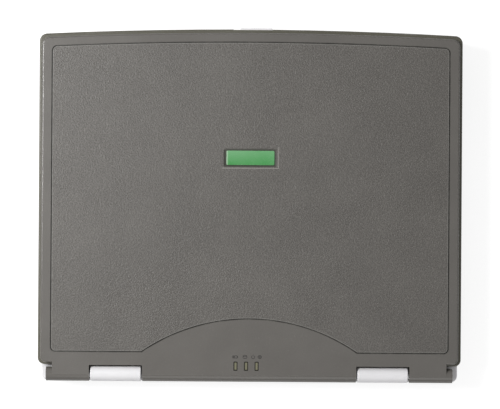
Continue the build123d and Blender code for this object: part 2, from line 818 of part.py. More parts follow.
def build_keys(keys, row):
    """Tapered key caps with their guide stems, as separate solids."""
    with BuildPart() as caps:
        for x, width in keys:
            with BuildSketch(Plane.XY.offset(key_under_z)):
                with Locations((x, row_y(row))):
                    Rectangle(width, row_depth(row))
            extrude(amount=key_height, taper=key_draft)
            with BuildSketch(Plane.XY.offset(key_under_z)):
                with Locations(*stem_places(x, width, row_y(row))):
                    Rectangle(stem_size, stem_size)
            extrude(amount=-stem_reach)
    return caps


for row, name in enumerate(row_names):
    row_key_list = row_keys(row)
    if row == 0:
        space_bar = build_keys([row_key_list.pop(space_bar_index)], row)
        save(space_bar, "space_bar")
    save(build_keys(row_key_list, row), name)

with BuildPart() as keyboard_deck:
    slab(rounded_plan(frame_x, frame_y, frame_radius), plate_under_z, deck_z - rim_drop)
    well_x = grown(frame_x, -rim_width)
    well_y = grown(frame_y, -rim_width)
    slab(rounded_plan(well_x, well_y, well_radius), plate_top_z, deck_z, mode=Mode.SUBTRACT)
    all_stems = [
        place
        for row in range(len(row_names))
        for x, width in row_keys(row)
        for place in stem_places(x, width, row_y(row))
    ]
    with BuildSketch(Plane.XY.offset(plate_under_z)):
        with Locations(*all_stems):
            Rectangle(stem_size + 2 * stem_gap, stem_size + 2 * stem_gap)
    extrude(amount=plate_thickness, mode=Mode.SUBTRACT)
save(keyboard_deck, "keyboard_deck")

# Places of what the base holds
battery_length = 133.0
battery_width = 77.0
battery_height = 18.8
bay_gap = 0.3
bay_front_gap = 0.9
drive_depth = 125.6
drive_width = 128.0
drive_height = 12.7
drive_side_inset = 2.4
drive_lift = 0.4
disk_length = 100.0
disk_width = 70.0
disk_height = 9.5
disk_left_x = -70.0
disk_battery_gap = 6.8
disk_lift = 0.1
card_width = 54.0
card_length = 85.6
card_height = 5.0
card_front_y = -41.0
card_drop = 1.2
board_lift = 5.5
board_thickness = 1.6
board_front_y = 30.0
board_left_x = -78.0
board_side_gap = 16.0
board_rear_gap = 2.8

tray_front_y = bow_y(inner_half_width, base_front_inset + base_wall) + bay_front_gap
battery_x = (-base_half_width, -base_half_width + battery_length)
battery_y = (tray_front_y, tray_front_y + battery_width)
battery_z = (floor_top_z + seat_gap, floor_top_z + seat_gap + battery_height)
drive_right_x = base_half_width - drive_side_inset
drive_x = (drive_right_x - drive_depth, drive_right_x)
drive_y = (tray_front_y, tray_front_y + drive_width)
drive_z = (floor_top_z + drive_lift, floor_top_z + drive_lift + drive_height)
disk_x = (disk_left_x, disk_left_x + disk_length)
disk_y = (battery_y[1] + disk_battery_gap, battery_y[1] + disk_battery_gap + disk_width)
disk_z = (floor_top_z + disk_lift, floor_top_z + disk_lift + disk_height)
board_x = (board_left_x, inner_half_width - board_side_gap)
board_y = (board_front_y, inner_rear_y - board_rear_gap)
board_z = (floor_top_z + board_lift, floor_top_z + board_lift + board_thickness)
card_x = (-base_half_width, -base_half_width + card_length)
card_y = (card_front_y, card_front_y + card_width)
card_z = (split_z - card_drop - card_height, split_z - card_drop)
cage_wall = 0.6
cage_z = grown(card_z, cage_wall + bay_gap)
cage_y = grown(card_y, bay_gap + cage_wall)
card_button_width = 5.0
card_button_height = 4.0
card_button_gap = 1.6
card_button_low_y = cage_y[1] + card_button_gap
card_button_y = (card_button_low_y, card_button_low_y + card_button_width)

# Ports: limits on X and Z of each connector in the rear wall
port_clearance = 0.3
port_recess = 0.4
port_lift = 0.05
power_width = 11.0
power_height = 11.0
power_side_inset = 1.0
vga_height = 12.5
usb_height = 6.9
network_height = 13.0
port_low_z = board_z[1] + port_lift
power_right_x = board_x[1] - power_side_inset
power_x = (power_right_x - power_width, power_right_x)
power_z = (port_low_z, board_z[1] + power_height)
vga_x = (76.0, 107.0)
vga_z = (port_low_z, board_z[1] + vga_height)
usb_x = [(40.0, 53.4), (57.4, 70.8)]
usb_z = (port_low_z, board_z[1] + usb_height)
network_x = (2.0, 31.0)
network_z = (port_low_z, board_z[1] + network_height)
rear_ports = [(power_x, power_z), (vga_x, vga_z), (network_x, network_z)]
rear_ports += [(x_range, usb_z) for x_range in usb_x]
jack_pitch = 14.0
jack_left_x = -10.0
jack_drop = 4.6
jack_front_inset = 0.3
jack_x = [jack_left_x, jack_left_x + jack_pitch]
jack_z = split_z - jack_drop
jack_ring_radius = 3.2
jack_front_y = base_front_y + jack_front_inset

# Fan and vents
fan_side_inset = 22.0
fan_width = 58.0
fan_y = (62.0, 118.0)
fan_lift = 0.3
fan_top_gap = 0.4
fin_wall_gap = 1.0
fin_fan_gap = 0.3
vent_margin = 1.5
vent_width = 2.2
vent_pitch = 4.4
vent_count = 11
inlet_length = 30.0
inlet_count = 8

fan_left_x = -base_half_width + fan_side_inset
fan_x = (fan_left_x, fan_left_x + fan_width)
fan_z = (floor_top_z + fan_lift, split_z - fan_top_gap)
fin_x = (-inner_half_width + fin_wall_gap, fan_x[0] - fin_fan_gap)
vent_z = grown((floor_top_z, split_z), -vent_margin)
vent_y = (fan_y[0] + fan_y[1]) / 2

# Feet, screws and bosses
foot_radius = 7.0
foot_recess = 0.6
foot_inset = 22.0
foot_front_inset = 16.0
foot_rear_y = 124.0
feet_y = (tray_front_y + foot_front_inset, foot_rear_y)
feet = [(side * (base_half_width - foot_inset), y) for side in (-1, 1) for y in feet_y]
boss_radius = 3.2
boss_hole_radius = 1.3
case_screw_radius = 1.2
case_screw_head = 2.9
case_screw_head_depth = 1.4
corner_boss_inset = 6.3
side_boss_inset = 4.8
spine_gap = 4.0
drive_boss_gap = 15.5
card_boss_gap = 25.0
front_boss_inset = 5.0
front_boss_gap = 11.0

corner_boss = (inner_half_width - corner_boss_inset, inner_rear_y - corner_boss_inset)
side_boss_x = inner_half_width - side_boss_inset
spine_x = battery_x[1] + spine_gap
front_boss_y = battery_y[0] + front_boss_inset
bosses = [
    corner_boss,
    (-corner_boss[0], corner_boss[1]),
    (side_boss_x, drive_y[1] + drive_boss_gap),
    (-side_boss_x, card_y[1] + card_boss_gap),
    (spine_x, front_boss_y),
    (drive_x[0] - front_boss_gap, front_boss_y),
]


def cut_side_bays(z_low, z_high):
    """Mouths of the battery bay and of the disc tray bay in the side walls."""
    mouth_depth = 13.0
    left = (-half_width, -base_half_width + mouth_depth)
    right = (base_half_width - mouth_depth, half_width)
    battery_mouth = (max(battery_z[0] - bay_gap, z_low), min(battery_z[1] + bay_gap, z_high))
    drive_mouth = (max(drive_z[0] - bay_gap, z_low), min(drive_z[1] + bay_gap, z_high))
    block(left, grown(battery_y, bay_gap), battery_mouth, mode=Mode.SUBTRACT)
    block(right, grown(drive_y, bay_gap), drive_mouth, mode=Mode.SUBTRACT)


def cut_rear_ports(z_low, z_high):
    """Openings in the rear wall round the connectors."""
    for x_range, z_range in rear_ports:
        low = max(z_range[0] - port_clearance, z_low)
        high = min(z_range[1] + port_clearance, z_high)
        if high > low:
            x_limits = grown(x_range, port_clearance)
            y_limits = grown((inner_rear_y, rear_y), cut_reach)
            block(x_limits, y_limits, (low, high), mode=Mode.SUBTRACT)


base_outline = bowed_outline(
    base_side_inset, base_front_inset, rear_y, front_corner_radius, rear_corner_radius
)
base_inner_outline = bowed_outline(
    base_side_inset + base_wall,
    base_front_inset + base_wall,
    inner_rear_y,
    front_corner_radius - base_wall,
    rear_corner_radius - base_wall,
)

# Bottom case: tray with bays, bosses, vents and hatch openings
bottom_edge_radius = 2.4
disk_hatch_margin = (3.0, 1.5)
disk_hatch_x = grown(disk_x, disk_hatch_margin[0])
disk_hatch_y = grown(disk_y, disk_hatch_margin[1])
memory_hatch_x = (36.0, 112.0)
memory_hatch_y = (42.0, 84.0)
hatch_gap = 0.25
hatch_opening_radius = 2.0
battery_latch_gap = 14.0
battery_latch_setback = 45.0
battery_latch_x = spine_x + battery_latch_gap
battery_latch_y = battery_y[0] + battery_latch_setback
latch_knob_size = (12.0, 7.0)
latch_slot_radius = 1.0
latch_knob_travel = 5.0
feet_plan_radius = foot_radius + seat_gap / 2
board_post_radius = 2.6
board_post_inset = 6.0
middle_post_x = 10.0
middle_post_inset = 12.0
post_x = grown(board_x, -board_post_inset)
post_y = grown(board_y, -board_post_inset)
board_posts = [
    (post_x[0], post_y[0]),
    (post_x[0], post_y[1]),
    (post_x[1], post_y[0]),
    (middle_post_x, board_y[1] - middle_post_inset),
]
board_screw_hole = 1.1

with BuildPart() as bottom_case:
    slab(base_outline, foot_height, split_z)
    fillet(bottom_case.edges().group_by(Axis.Z)[0], radius=bottom_edge_radius)
    slab(base_inner_outline, floor_top_z, split_z, mode=Mode.SUBTRACT)
    battery_rib_y = battery_y[1] + bay_gap
    battery_rib_x = battery_x[1] + bay_gap
    battery_rib_z = (floor_top_z, split_z)
    rib_front_y = bow_y(0, base_front_inset + base_wall / 2)
    block(
        (-inner_half_width - root_depth, battery_rib_x + rib_thickness),
        (battery_rib_y, battery_rib_y + rib_thickness),
        battery_rib_z,
    )
    block(
        (battery_rib_x, battery_rib_x + rib_thickness), (rib_front_y, battery_rib_y), battery_rib_z
    )
    drive_rib_x = drive_x[0] - bay_gap - rib_thickness
    drive_rib_y = drive_y[1] + bay_gap
    block((drive_rib_x, drive_rib_x + rib_thickness), (rib_front_y, drive_rib_y), battery_rib_z)
    block(
        (drive_rib_x, inner_half_width + root_depth),
        (drive_rib_y, drive_rib_y + rib_thickness),
        battery_rib_z,
    )
    with BuildSketch(Plane.XY.offset(floor_top_z - root_depth)):
        with Locations(*bosses):
            Circle(boss_radius)
    extrude(amount=split_z - floor_top_z + root_depth)
    with BuildSketch(Plane.XY.offset(floor_top_z - root_depth)):
        with Locations(*board_posts):
            Circle(board_post_radius)
    extrude(amount=board_z[0] - floor_top_z + root_depth)
    cut_side_bays(foot_height, split_z)
    cut_rear_ports(foot_height, split_z)
    with Locations(*[(x, y, foot_height) for x, y in bosses]):
        with Locations(Rotation(180, 0, 0)):
            CounterBoreHole(
                boss_hole_radius, case_screw_head + seat_gap / 2, case_screw_head_depth, base_height
            )
    block(
        (-half_width, -inner_half_width + cut_reach),
        grown(card_y, bay_gap),
        grown(card_z, bay_gap),
        mode=Mode.SUBTRACT,
    )
    with BuildSketch(Plane.YZ.offset(-base_half_width - cut_reach)):
        with Locations((vent_y, (vent_z[0] + vent_z[1]) / 2)):
            with GridLocations(vent_pitch, 0, vent_count, 1):
                Rectangle(vent_width, vent_z[1] - vent_z[0])
    extrude(amount=base_wall + 2 * cut_reach, mode=Mode.SUBTRACT)
    card_button_hole_z = grown(((card_z[0] + card_z[1]) / 2,) * 2, card_button_height / 2 + slide_gap)
    block(
        (-half_width, -inner_half_width + cut_reach),
        grown(card_button_y, slide_gap),
        card_button_hole_z,
        mode=Mode.SUBTRACT,
    )
    with BuildSketch(Plane.XY.offset(foot_height)):
        with Locations(((fan_x[0] + fan_x[1]) / 2, vent_y)):
            with GridLocations(0, vent_pitch, 1, inlet_count):
                SlotOverall(inlet_length, vent_width)
    extrude(amount=floor_thickness, mode=Mode.SUBTRACT)
    for hatch_x, hatch_y in ((disk_hatch_x, disk_hatch_y), (memory_hatch_x, memory_hatch_y)):
        hatch_opening = rounded_plan(hatch_x, hatch_y, hatch_opening_radius)
        slab(hatch_opening, foot_height, floor_top_z, Mode.SUBTRACT)
    latch_slot_length = latch_knob_size[0] + latch_knob_travel + 2 * slide_gap
    latch_slot_x = battery_latch_x - slide_gap
    latch_slot = rounded_plan(
        (latch_slot_x, latch_slot_x + latch_slot_length),
        grown((battery_latch_y, battery_latch_y + latch_knob_size[1]), slide_gap),
        latch_slot_radius,
    )
    slab(latch_slot, foot_height, floor_top_z, Mode.SUBTRACT)
    with BuildSketch(Plane.XY.offset(foot_height)):
        with Locations(*feet):
            Circle(feet_plan_radius)
    extrude(amount=foot_recess, mode=Mode.SUBTRACT)
    with BuildSketch(Plane.XZ.offset(-base_front_y + cut_reach)):
        with Locations(*[(x, jack_z) for x in jack_x]):
            Circle(jack_ring_radius + port_clearance)
    extrude(amount=-base_wall - 2 * cut_reach, mode=Mode.SUBTRACT)
save(bottom_case, "bottom_case")

# Controls on the deck: touchpad, buttons and speakers
pad_x = (-30.0, 30.0)
pad_length = 46.0
pad_front_gap = 38.0
pad_flange = 2.0
pad_drop = 0.4
pad_radius = 2.0
pad_flange_height = 1.2
pad_button_width = 27.6
pad_button_depth = 12.6
pad_button_gap = 1.2
pad_button_radius = 1.2
pad_button_spacing = 3.4
button_gap = 0.25
button_flange = 1.2
button_flange_height = 0.9
button_drop = 0.2
button_edge_radius = 0.4
strip_gap = 18.0
power_radius = 6.0
quick_offset = 26.0
quick_size = (12.0, 6.0)
quick_radius = 2.9
speaker_offset = 125.0
speaker_size = (56.0, 16.0)
speaker_height = 6.5
grille_slot_width = 1.4
grille_pitch = 3.0
grille_count = 14
grille_slot_length = 11.0

strip_y = frame_y[1] + strip_gap
pad_y = (base_front_y + pad_front_gap, base_front_y + pad_front_gap + pad_length)
pad_button_y = pad_y[0] - pad_button_spacing - pad_button_depth / 2
pad_button_x = pad_button_gap / 2 + pad_button_width / 2
flange_top_z = deck_under_z - seat_gap
cap_top_z = deck_z - button_drop


def build_button(centre, outline, flange_outline):
    """Button cap that shows through the deck, with a flange that keeps it in."""
    with BuildPart() as button:
        with BuildSketch(Plane.XY.offset(flange_top_z - button_flange_height)):
            with Locations(centre):
                add(flange_outline)
        extrude(amount=button_flange_height)
        with BuildSketch(Plane.XY.offset(flange_top_z)):
            with Locations(centre):
                add(outline)
        extrude(amount=cap_top_z - flange_top_z)
        fillet(button.edges().group_by(Axis.Z)[-1], radius=button_edge_radius)
    return button


def rounded_rectangle(width, depth, radius, growth=0.0):
    """Rounded rectangle about the middle, grown by the same amount on every side."""
    with BuildSketch() as plan:
        RectangleRounded(width + 2 * growth, depth + 2 * growth, radius + growth)
    return plan.sketch


def disc_plan(radius):
    """Circle about the middle."""
    with BuildSketch() as plan:
        Circle(radius)
    return plan.sketch


pad_button_size = (pad_button_width, pad_button_depth)
pad_button_plan = rounded_rectangle(*pad_button_size, pad_button_radius)
pad_button_hole = rounded_rectangle(*pad_button_size, pad_button_radius, button_gap)
quick_plan = rounded_rectangle(*quick_size, quick_radius)
quick_flange = rounded_rectangle(*quick_size, quick_radius, button_flange)
quick_hole = rounded_rectangle(*quick_size, quick_radius, button_gap)
for side, name in ((-1, "touchpad_button_left"), (1, "touchpad_button_right")):
    middle = (side * pad_button_x, pad_button_y)
    shifted_flange = rounded_rectangle(
        pad_button_width - button_flange, pad_button_depth, pad_button_radius, button_flange
    )
    flange_middle = (side * button_flange / 2, 0)
    with BuildSketch() as side_flange:
        with Locations(flange_middle):
            add(shifted_flange)
    save(build_button(middle, pad_button_plan, side_flange.sketch), name)
save(
    build_button((0, strip_y), disc_plan(power_radius), disc_plan(power_radius + button_flange)),
    "power_button",
)
for side, name in ((-1, "quick_button_left"), (1, "quick_button_right")):
    save(build_button((side * quick_offset, strip_y), quick_plan, quick_flange), name)

with BuildPart() as touchpad:
    pad_top_z = deck_z - pad_drop
    pad_plan = rounded_plan(pad_x, pad_y, pad_radius)
    pad_flange_plan = rounded_plan(grown(pad_x, pad_flange), grown(pad_y, pad_flange), pad_radius)
    slab(pad_flange_plan, deck_under_z - pad_flange_height, deck_under_z)
    slab(pad_plan, deck_under_z, pad_top_z)
save(touchpad, "touchpad")

# Top case: deck with the keyboard well, openings and side walls
top_edge_radius = 1.4
well_wall = 1.4
ledge_width = 2.6
ledge_thickness = 1.4
well_outer_radius = 2.5
well_hole_radius = 1.6
ledge_hole_radius = 1.0
hook_slot_y = grown(bar_y, hook_slot_gap)

with BuildPart() as top_case:
    slab(base_outline, split_z, deck_z)
    fillet(top_case.edges().group_by(Axis.Z)[-1], radius=top_edge_radius)
    slab(base_inner_outline, split_z, deck_under_z, mode=Mode.SUBTRACT)
    well_hole_x = grown(frame_x, panel_gap)
    well_hole_y = grown(frame_y, panel_gap)
    outer_x = grown(well_hole_x, well_wall)
    outer_y = grown(well_hole_y, well_wall)
    ledge_under_z = plate_under_z - ledge_thickness
    slab(rounded_plan(outer_x, outer_y, well_outer_radius), ledge_under_z, deck_under_z)
    well_hole = rounded_plan(well_hole_x, well_hole_y, well_hole_radius)
    slab(well_hole, plate_under_z, deck_z, Mode.SUBTRACT)
    ledge_x = grown(frame_x, -ledge_width)
    ledge_y = grown(frame_y, -ledge_width)
    ledge_hole = rounded_plan(ledge_x, ledge_y, ledge_hole_radius)
    slab(ledge_hole, ledge_under_z, plate_under_z, Mode.SUBTRACT)
    pad_hole = rounded_plan(grown(pad_x, panel_gap), grown(pad_y, panel_gap), pad_radius)
    slab(pad_hole, deck_under_z, deck_z, Mode.SUBTRACT)
    with BuildSketch(Plane.XY.offset(deck_under_z)):
        for side in (-1, 1):
            with Locations((side * pad_button_x, pad_button_y)):
                add(pad_button_hole)
            with Locations((side * quick_offset, strip_y)):
                add(quick_hole)
        with Locations((0, strip_y)):
            Circle(power_radius + button_gap)
        with Locations((-speaker_offset, strip_y), (speaker_offset, strip_y)):
            with GridLocations(grille_pitch, 0, grille_count, 1):
                SlotOverall(grille_slot_length, grille_slot_width, rotation=90)
    extrude(amount=deck_thickness, mode=Mode.SUBTRACT)
    for hook_x in hook_places:
        block(hook_slot(hook_x), hook_slot_y, (deck_under_z, deck_z), mode=Mode.SUBTRACT)
    cut_side_bays(split_z, deck_z)
    cut_rear_ports(split_z, deck_z)
    with BuildSketch(Plane.XY.offset(split_z)):
        with Locations(*bosses):
            Circle(boss_radius)
            Circle(boss_hole_radius, mode=Mode.SUBTRACT)
    extrude(amount=deck_under_z - split_z + root_depth)
save(top_case, "top_case")

# Hatches in the floor
hatch_thickness = 1.7
hatch_radius = 1.7
hatch_chamfer = 0.3
finger_width = 3.0
finger_inset = 8.0
finger_end_inset = 10.0
finger_radius = 1.4
finger_depth = 0.7


def build_hatch(x_range, y_range):
    """Flat hatch with a shallow finger groove, sunk into its opening in the floor."""
    with BuildPart() as hatch:
        plan_x = grown(x_range, -hatch_gap)
        plan_y = grown(y_range, -hatch_gap)
        slab(rounded_plan(plan_x, plan_y, hatch_radius), foot_height, foot_height + hatch_thickness)
        chamfer(hatch.edges().group_by(Axis.Z)[0], length=hatch_chamfer)
        finger_x = (x_range[0] + finger_inset, x_range[0] + finger_inset + finger_width)
        finger_plan = rounded_plan(finger_x, grown(y_range, -finger_end_inset), finger_radius)
        slab(finger_plan, foot_height, foot_height + finger_depth, Mode.SUBTRACT)
    return hatch


save(build_hatch(disk_hatch_x, disk_hatch_y), "drive_cover")
save(build_hatch(memory_hatch_x, memory_hatch_y), "memory_cover")

foot_edge_radius = 0.5

with BuildPart() as rubber_feet:
    with BuildSketch():
        with Locations(*feet):
            Circle(foot_radius)
    extrude(amount=foot_height + foot_recess)
    fillet(rubber_feet.edges().group_by(Axis.Z)[0], radius=foot_edge_radius)
save(rubber_feet, "rubber_feet")

screw_head_sink = 0.3
screw_end_gap = 1.0

with BuildPart() as case_screws:
    screw_head_z = foot_height + screw_head_sink
    screw_neck_z = foot_height + case_screw_head_depth
    with BuildSketch(Plane.XY.offset(screw_head_z)):
        with Locations(*bosses):
            Circle(case_screw_head)
    extrude(amount=screw_neck_z - screw_head_z)
    with BuildSketch(Plane.XY.offset(screw_neck_z)):
        with Locations(*bosses):
            Circle(case_screw_radius)
    extrude(amount=deck_under_z - screw_neck_z - screw_end_gap)
save(case_screws, "case_screws")

# Battery: pack that slides out of the left side, and its latch
pack_edge_radius = 1.0
pack_groove_depth = 0.8
seam_shares = (0.25, 0.5, 0.75)
seam_half_width = 0.8
seam_outer_inset = 8.0
seam_inner_inset = 6.0
grip_end_inset = 24.0
grip_lift = 5.0
grip_height = 7.0
grip_depth = 2.2

with BuildPart() as battery_pack:
    block(battery_x, battery_y, battery_z)
    fillet(battery_pack.edges().filter_by(Axis.X), radius=pack_edge_radius)
    pack_grip_y = grown(battery_y, -grip_end_inset)
    pack_grip_z = (battery_z[0] + grip_lift, battery_z[0] + grip_lift + grip_height)
    block((battery_x[0], battery_x[0] + grip_depth), pack_grip_y, pack_grip_z, mode=Mode.SUBTRACT)
    for share in seam_shares:
        seam_y = battery_y[0] + share * battery_width
        seam_x = (battery_x[0] + seam_outer_inset, battery_x[1] - seam_inner_inset)
        top_groove = (battery_z[1] - pack_groove_depth, battery_z[1])
        block(seam_x, grown((seam_y, seam_y), seam_half_width), top_groove, mode=Mode.SUBTRACT)
save(battery_pack, "battery_pack")

knob_lift = 0.3
knob_radius = 0.8
knob_rib_pitch = 2.4
knob_rib_half_width = 0.5
knob_rib_inset = 1.0
knob_rib_depth = 0.4
bolt_gap = 0.4
bolt_overhang = (2.0, 1.5)
bolt_thickness = 1.4
bolt_radius = 1.0

with BuildPart() as battery_latch:
    knob_x = (battery_latch_x, battery_latch_x + latch_knob_size[0])
    knob_y = (battery_latch_y, battery_latch_y + latch_knob_size[1])
    knob_under_z = foot_height + knob_lift
    slab(rounded_plan(knob_x, knob_y, knob_radius), knob_under_z, floor_top_z + seat_gap)
    for rib_step in (-1, 0, 1):
        rib_x = (knob_x[0] + knob_x[1]) / 2 + rib_step * knob_rib_pitch
        block(
            grown((rib_x, rib_x), knob_rib_half_width),
            grown(knob_y, -knob_rib_inset),
            (knob_under_z, knob_under_z + knob_rib_depth),
            mode=Mode.SUBTRACT,
        )
    bolt_x = (battery_rib_x + rib_thickness + bolt_gap, knob_x[1] + bolt_overhang[0])
    bolt_z = (floor_top_z + seat_gap, floor_top_z + seat_gap + bolt_thickness)
    slab(rounded_plan(bolt_x, grown(knob_y, bolt_overhang[1]), bolt_radius), *bolt_z)
save(battery_latch, "battery_latch")

# Optical drive: sheet-metal case, disc tray, spindle and eject button
drive_sheet = 0.7
tray_gap = 0.5
tray_wall = 1.6
tray_bezel_depth = 2.2
tray_bezel_gap = 0.2
tray_bezel_radius = 0.6
tray_joint_reach = 0.5
tray_joint_inset = 2.0
stamp_radii = (46.4, 48.8)
stamp_depth = 0.3
lens_window_shift = 27.0
lens_window_size = (34.0, 14.0)
lens_window_radius = 3.0
motor_plate_height = 1.4
motor_plate_margin = 5.0
motor_arm_shift = 20.0
motor_arm_inset = 21.0
motor_arm_width = 12.0
post_rise = 0.4
disc_radius = 61.0
disc_recess_depth = 2.4
tray_floor = 1.8
spindle_radius = 9.0
spindle_cap_radius = 7.4
spindle_hole_gap = 0.6
spindle_post_radius = 2.0
spindle_shoulder_drop = 0.2
spindle_neck_rise = 0.6
spindle_cap_rise = 1.6
spindle_top_rise = 1.9
eject_size = (9.0, 3.0)
eject_travel = 1.2
eject_rear_inset = 20.0
eject_sink = 0.1
eject_stop_gap = 1.0

tray_x = (drive_x[0] + drive_sheet + tray_gap, drive_x[1])
tray_y = grown(drive_y, -drive_sheet - tray_gap)
tray_z = (drive_z[0] + drive_sheet + tray_gap, drive_z[1] - drive_sheet - tray_gap)
tray_bezel_x = (drive_x[1] + tray_bezel_gap, base_half_width)
disc_centre = ((tray_x[0] + tray_x[1]) / 2, (drive_y[0] + drive_y[1]) / 2)
recess_z = tray_z[1] - disc_recess_depth
tray_deck_z = recess_z - tray_floor
eject_y = drive_y[1] - eject_rear_inset
eject_z = (tray_z[0] + tray_z[1]) / 2

with BuildPart() as optical_drive:
    block(drive_x, drive_y, drive_z)
    inside_x = (drive_x[0] + drive_sheet, drive_x[1] + cut_reach)
    inside_z = grown(drive_z, -drive_sheet)
    block(inside_x, grown(drive_y, -drive_sheet), inside_z, mode=Mode.SUBTRACT)
    with BuildSketch(Plane.XY.offset(drive_z[1])):
        with Locations(disc_centre):
            Circle(stamp_radii[1])
            Circle(stamp_radii[0], mode=Mode.SUBTRACT)
    extrude(amount=-stamp_depth, mode=Mode.SUBTRACT)
save(optical_drive, "optical_drive")

with BuildPart() as disc_tray:
    block(tray_x, tray_y, tray_z)
    hollow_x = (tray_x[0] + tray_wall, tray_x[1] - tray_wall)
    hollow_y = grown(tray_y, -tray_wall)
    block(hollow_x, hollow_y, (tray_z[0], tray_deck_z), mode=Mode.SUBTRACT)
    with BuildSketch(Plane.XY.offset(recess_z)):
        with Locations(disc_centre):
            Circle(disc_radius)
    extrude(amount=disc_recess_depth, mode=Mode.SUBTRACT)
    with BuildSketch(Plane.XY.offset(tray_deck_z)):
        with Locations(disc_centre):
            Circle(spindle_radius + spindle_hole_gap)
        with Locations((disc_centre[0] + lens_window_shift, disc_centre[1])):
            RectangleRounded(*lens_window_size, lens_window_radius)
    extrude(amount=tray_floor, mode=Mode.SUBTRACT)
    motor_z = (tray_z[0], tray_z[0] + motor_plate_height)
    with BuildSketch(Plane.XY.offset(motor_z[0])):
        with Locations(disc_centre):
            Circle(spindle_radius + motor_plate_margin)
        with Locations((disc_centre[0] - motor_arm_shift, disc_centre[1])):
            Rectangle(tray_x[1] - tray_x[0] - 2 * motor_arm_inset, motor_arm_width)
    extrude(amount=motor_z[1] - motor_z[0])
    with BuildSketch(Plane.XY.offset(motor_z[1])):
        with Locations(disc_centre):
            Circle(spindle_post_radius)
    extrude(amount=recess_z - motor_z[1] + post_rise)
    bezel_plan = rounded_plan(tray_bezel_x, grown(drive_y, -tray_bezel_gap), tray_bezel_radius)
    slab(bezel_plan, *grown(drive_z, -tray_bezel_gap))
    joint_x = grown((tray_x[1], tray_bezel_x[0]), tray_joint_reach)
    block(joint_x, grown(tray_y, -tray_joint_inset), tray_z)
    with BuildSketch(Plane.YZ.offset(base_half_width)):
        with Locations((eject_y, eject_z)):
            SlotOverall(eject_size[0] + 2 * button_gap, eject_size[1] + 2 * button_gap)
    extrude(amount=-tray_bezel_depth - eject_travel - eject_stop_gap, mode=Mode.SUBTRACT)
save(disc_tray, "disc_tray")

with BuildPart() as disc_spindle:
    spindle_low_z = motor_z[1] + seat_gap
    with BuildSketch(Plane.XZ.offset(-disc_centre[1])):
        with BuildLine():
            Polyline(
                (disc_centre[0] + spindle_post_radius + running_gap, spindle_low_z),
                (disc_centre[0] + spindle_radius, spindle_low_z),
                (disc_centre[0] + spindle_radius, recess_z - spindle_shoulder_drop),
                (disc_centre[0] + spindle_cap_radius, recess_z + spindle_neck_rise),
                (disc_centre[0] + spindle_cap_radius, recess_z + spindle_cap_rise),
                (disc_centre[0] + spindle_post_radius + running_gap, recess_z + spindle_top_rise),
                close=True,
            )
        make_face()
    revolve(axis=Axis((disc_centre[0], disc_centre[1], 0), (0, 0, 1)))
save(disc_spindle, "disc_spindle")

with BuildPart() as eject_button:
    with BuildSketch(Plane.YZ.offset(base_half_width - eject_sink)):
        with Locations((eject_y, eject_z)):
            SlotOverall(*eject_size)
    extrude(amount=-tray_bezel_depth)
save(eject_button, "eject_button")

# Hard drive: body, lid plate and connector end
disk_plate_height = 1.2
disk_plate_inset = (1.4, 1.0)
disk_radius = 3.0
platter_radii = (22.6, 24.0)
platter_inset = 38.0
platter_depth = 0.4

with BuildPart() as hard_drive:
    slab(rounded_plan(disk_x, disk_y, disk_radius), disk_z[0], disk_z[1] - disk_plate_height)
    plate_x = grown(disk_x, -disk_plate_inset[0])
    plate_y = grown(disk_y, -disk_plate_inset[1])
    plate_plan = rounded_plan(plate_x, plate_y, disk_radius)
    slab(plate_plan, disk_z[1] - disk_plate_height, disk_z[1])
    with BuildSketch(Plane.XY.offset(disk_z[1])):
        with Locations((disk_x[0] + platter_inset, (disk_y[0] + disk_y[1]) / 2)):
            Circle(platter_radii[1])
            Circle(platter_radii[0], mode=Mode.SUBTRACT)
    extrude(amount=-platter_depth, mode=Mode.SUBTRACT)
save(hard_drive, "hard_drive")

# Card slot: cage, dummy card and release button
cage_wall_gap = 0.3
cage_end_gap = 3.0
cage_window_inset = (16.0, 9.0)
cage_window_radius = 3.0
leg_inset = 3.0
leg_outer_inset = 10.0
leg_inner_inset = 4.0
leg_size = 4.0
card_radius = 1.0
card_well_outer_inset = 12.0
card_well_inner_inset = 6.0
card_well_side_inset = 4.0
card_well_radius = 2.0
card_well_depth = 1.4
grip_half_width = 9.0
grip_reach = 1.2
grip_radius = 0.5
grip_rise = 1.6
button_length = 7.0
card_button_radius = 0.6
rod_half_height = 0.8
rod_offset = 0.4
rod_width = 1.6
rod_overlap = 0.5
rod_end_inset = 12.0

with BuildPart() as pc_card_cage:
    cage_x = (-inner_half_width + cage_wall_gap, card_x[1] + cage_end_gap)
    block(cage_x, cage_y, cage_z)
    block(
        (cage_x[0] - cut_reach, card_x[1] + bay_gap),
        grown(card_y, bay_gap),
        grown(card_z, bay_gap),
        mode=Mode.SUBTRACT,
    )
    cage_window_x = grown(cage_x, -cage_window_inset[0])
    cage_window_y = grown(card_y, -cage_window_inset[1])
    cage_window = rounded_plan(cage_window_x, cage_window_y, cage_window_radius)
    slab(cage_window, card_z[1], cage_z[1] + cut_reach, Mode.SUBTRACT)
    for leg_y in grown(cage_y, -leg_inset):
        with BuildSketch(Plane.XY.offset(floor_top_z)):
            outer_leg = (cage_x[0] + leg_outer_inset, leg_y)
            inner_leg = (cage_x[1] - leg_inner_inset, leg_y)
            with Locations(outer_leg, inner_leg):
                Rectangle(leg_size, leg_size)
        extrude(amount=cage_z[0] - floor_top_z)
save(pc_card_cage, "pc_card_cage")

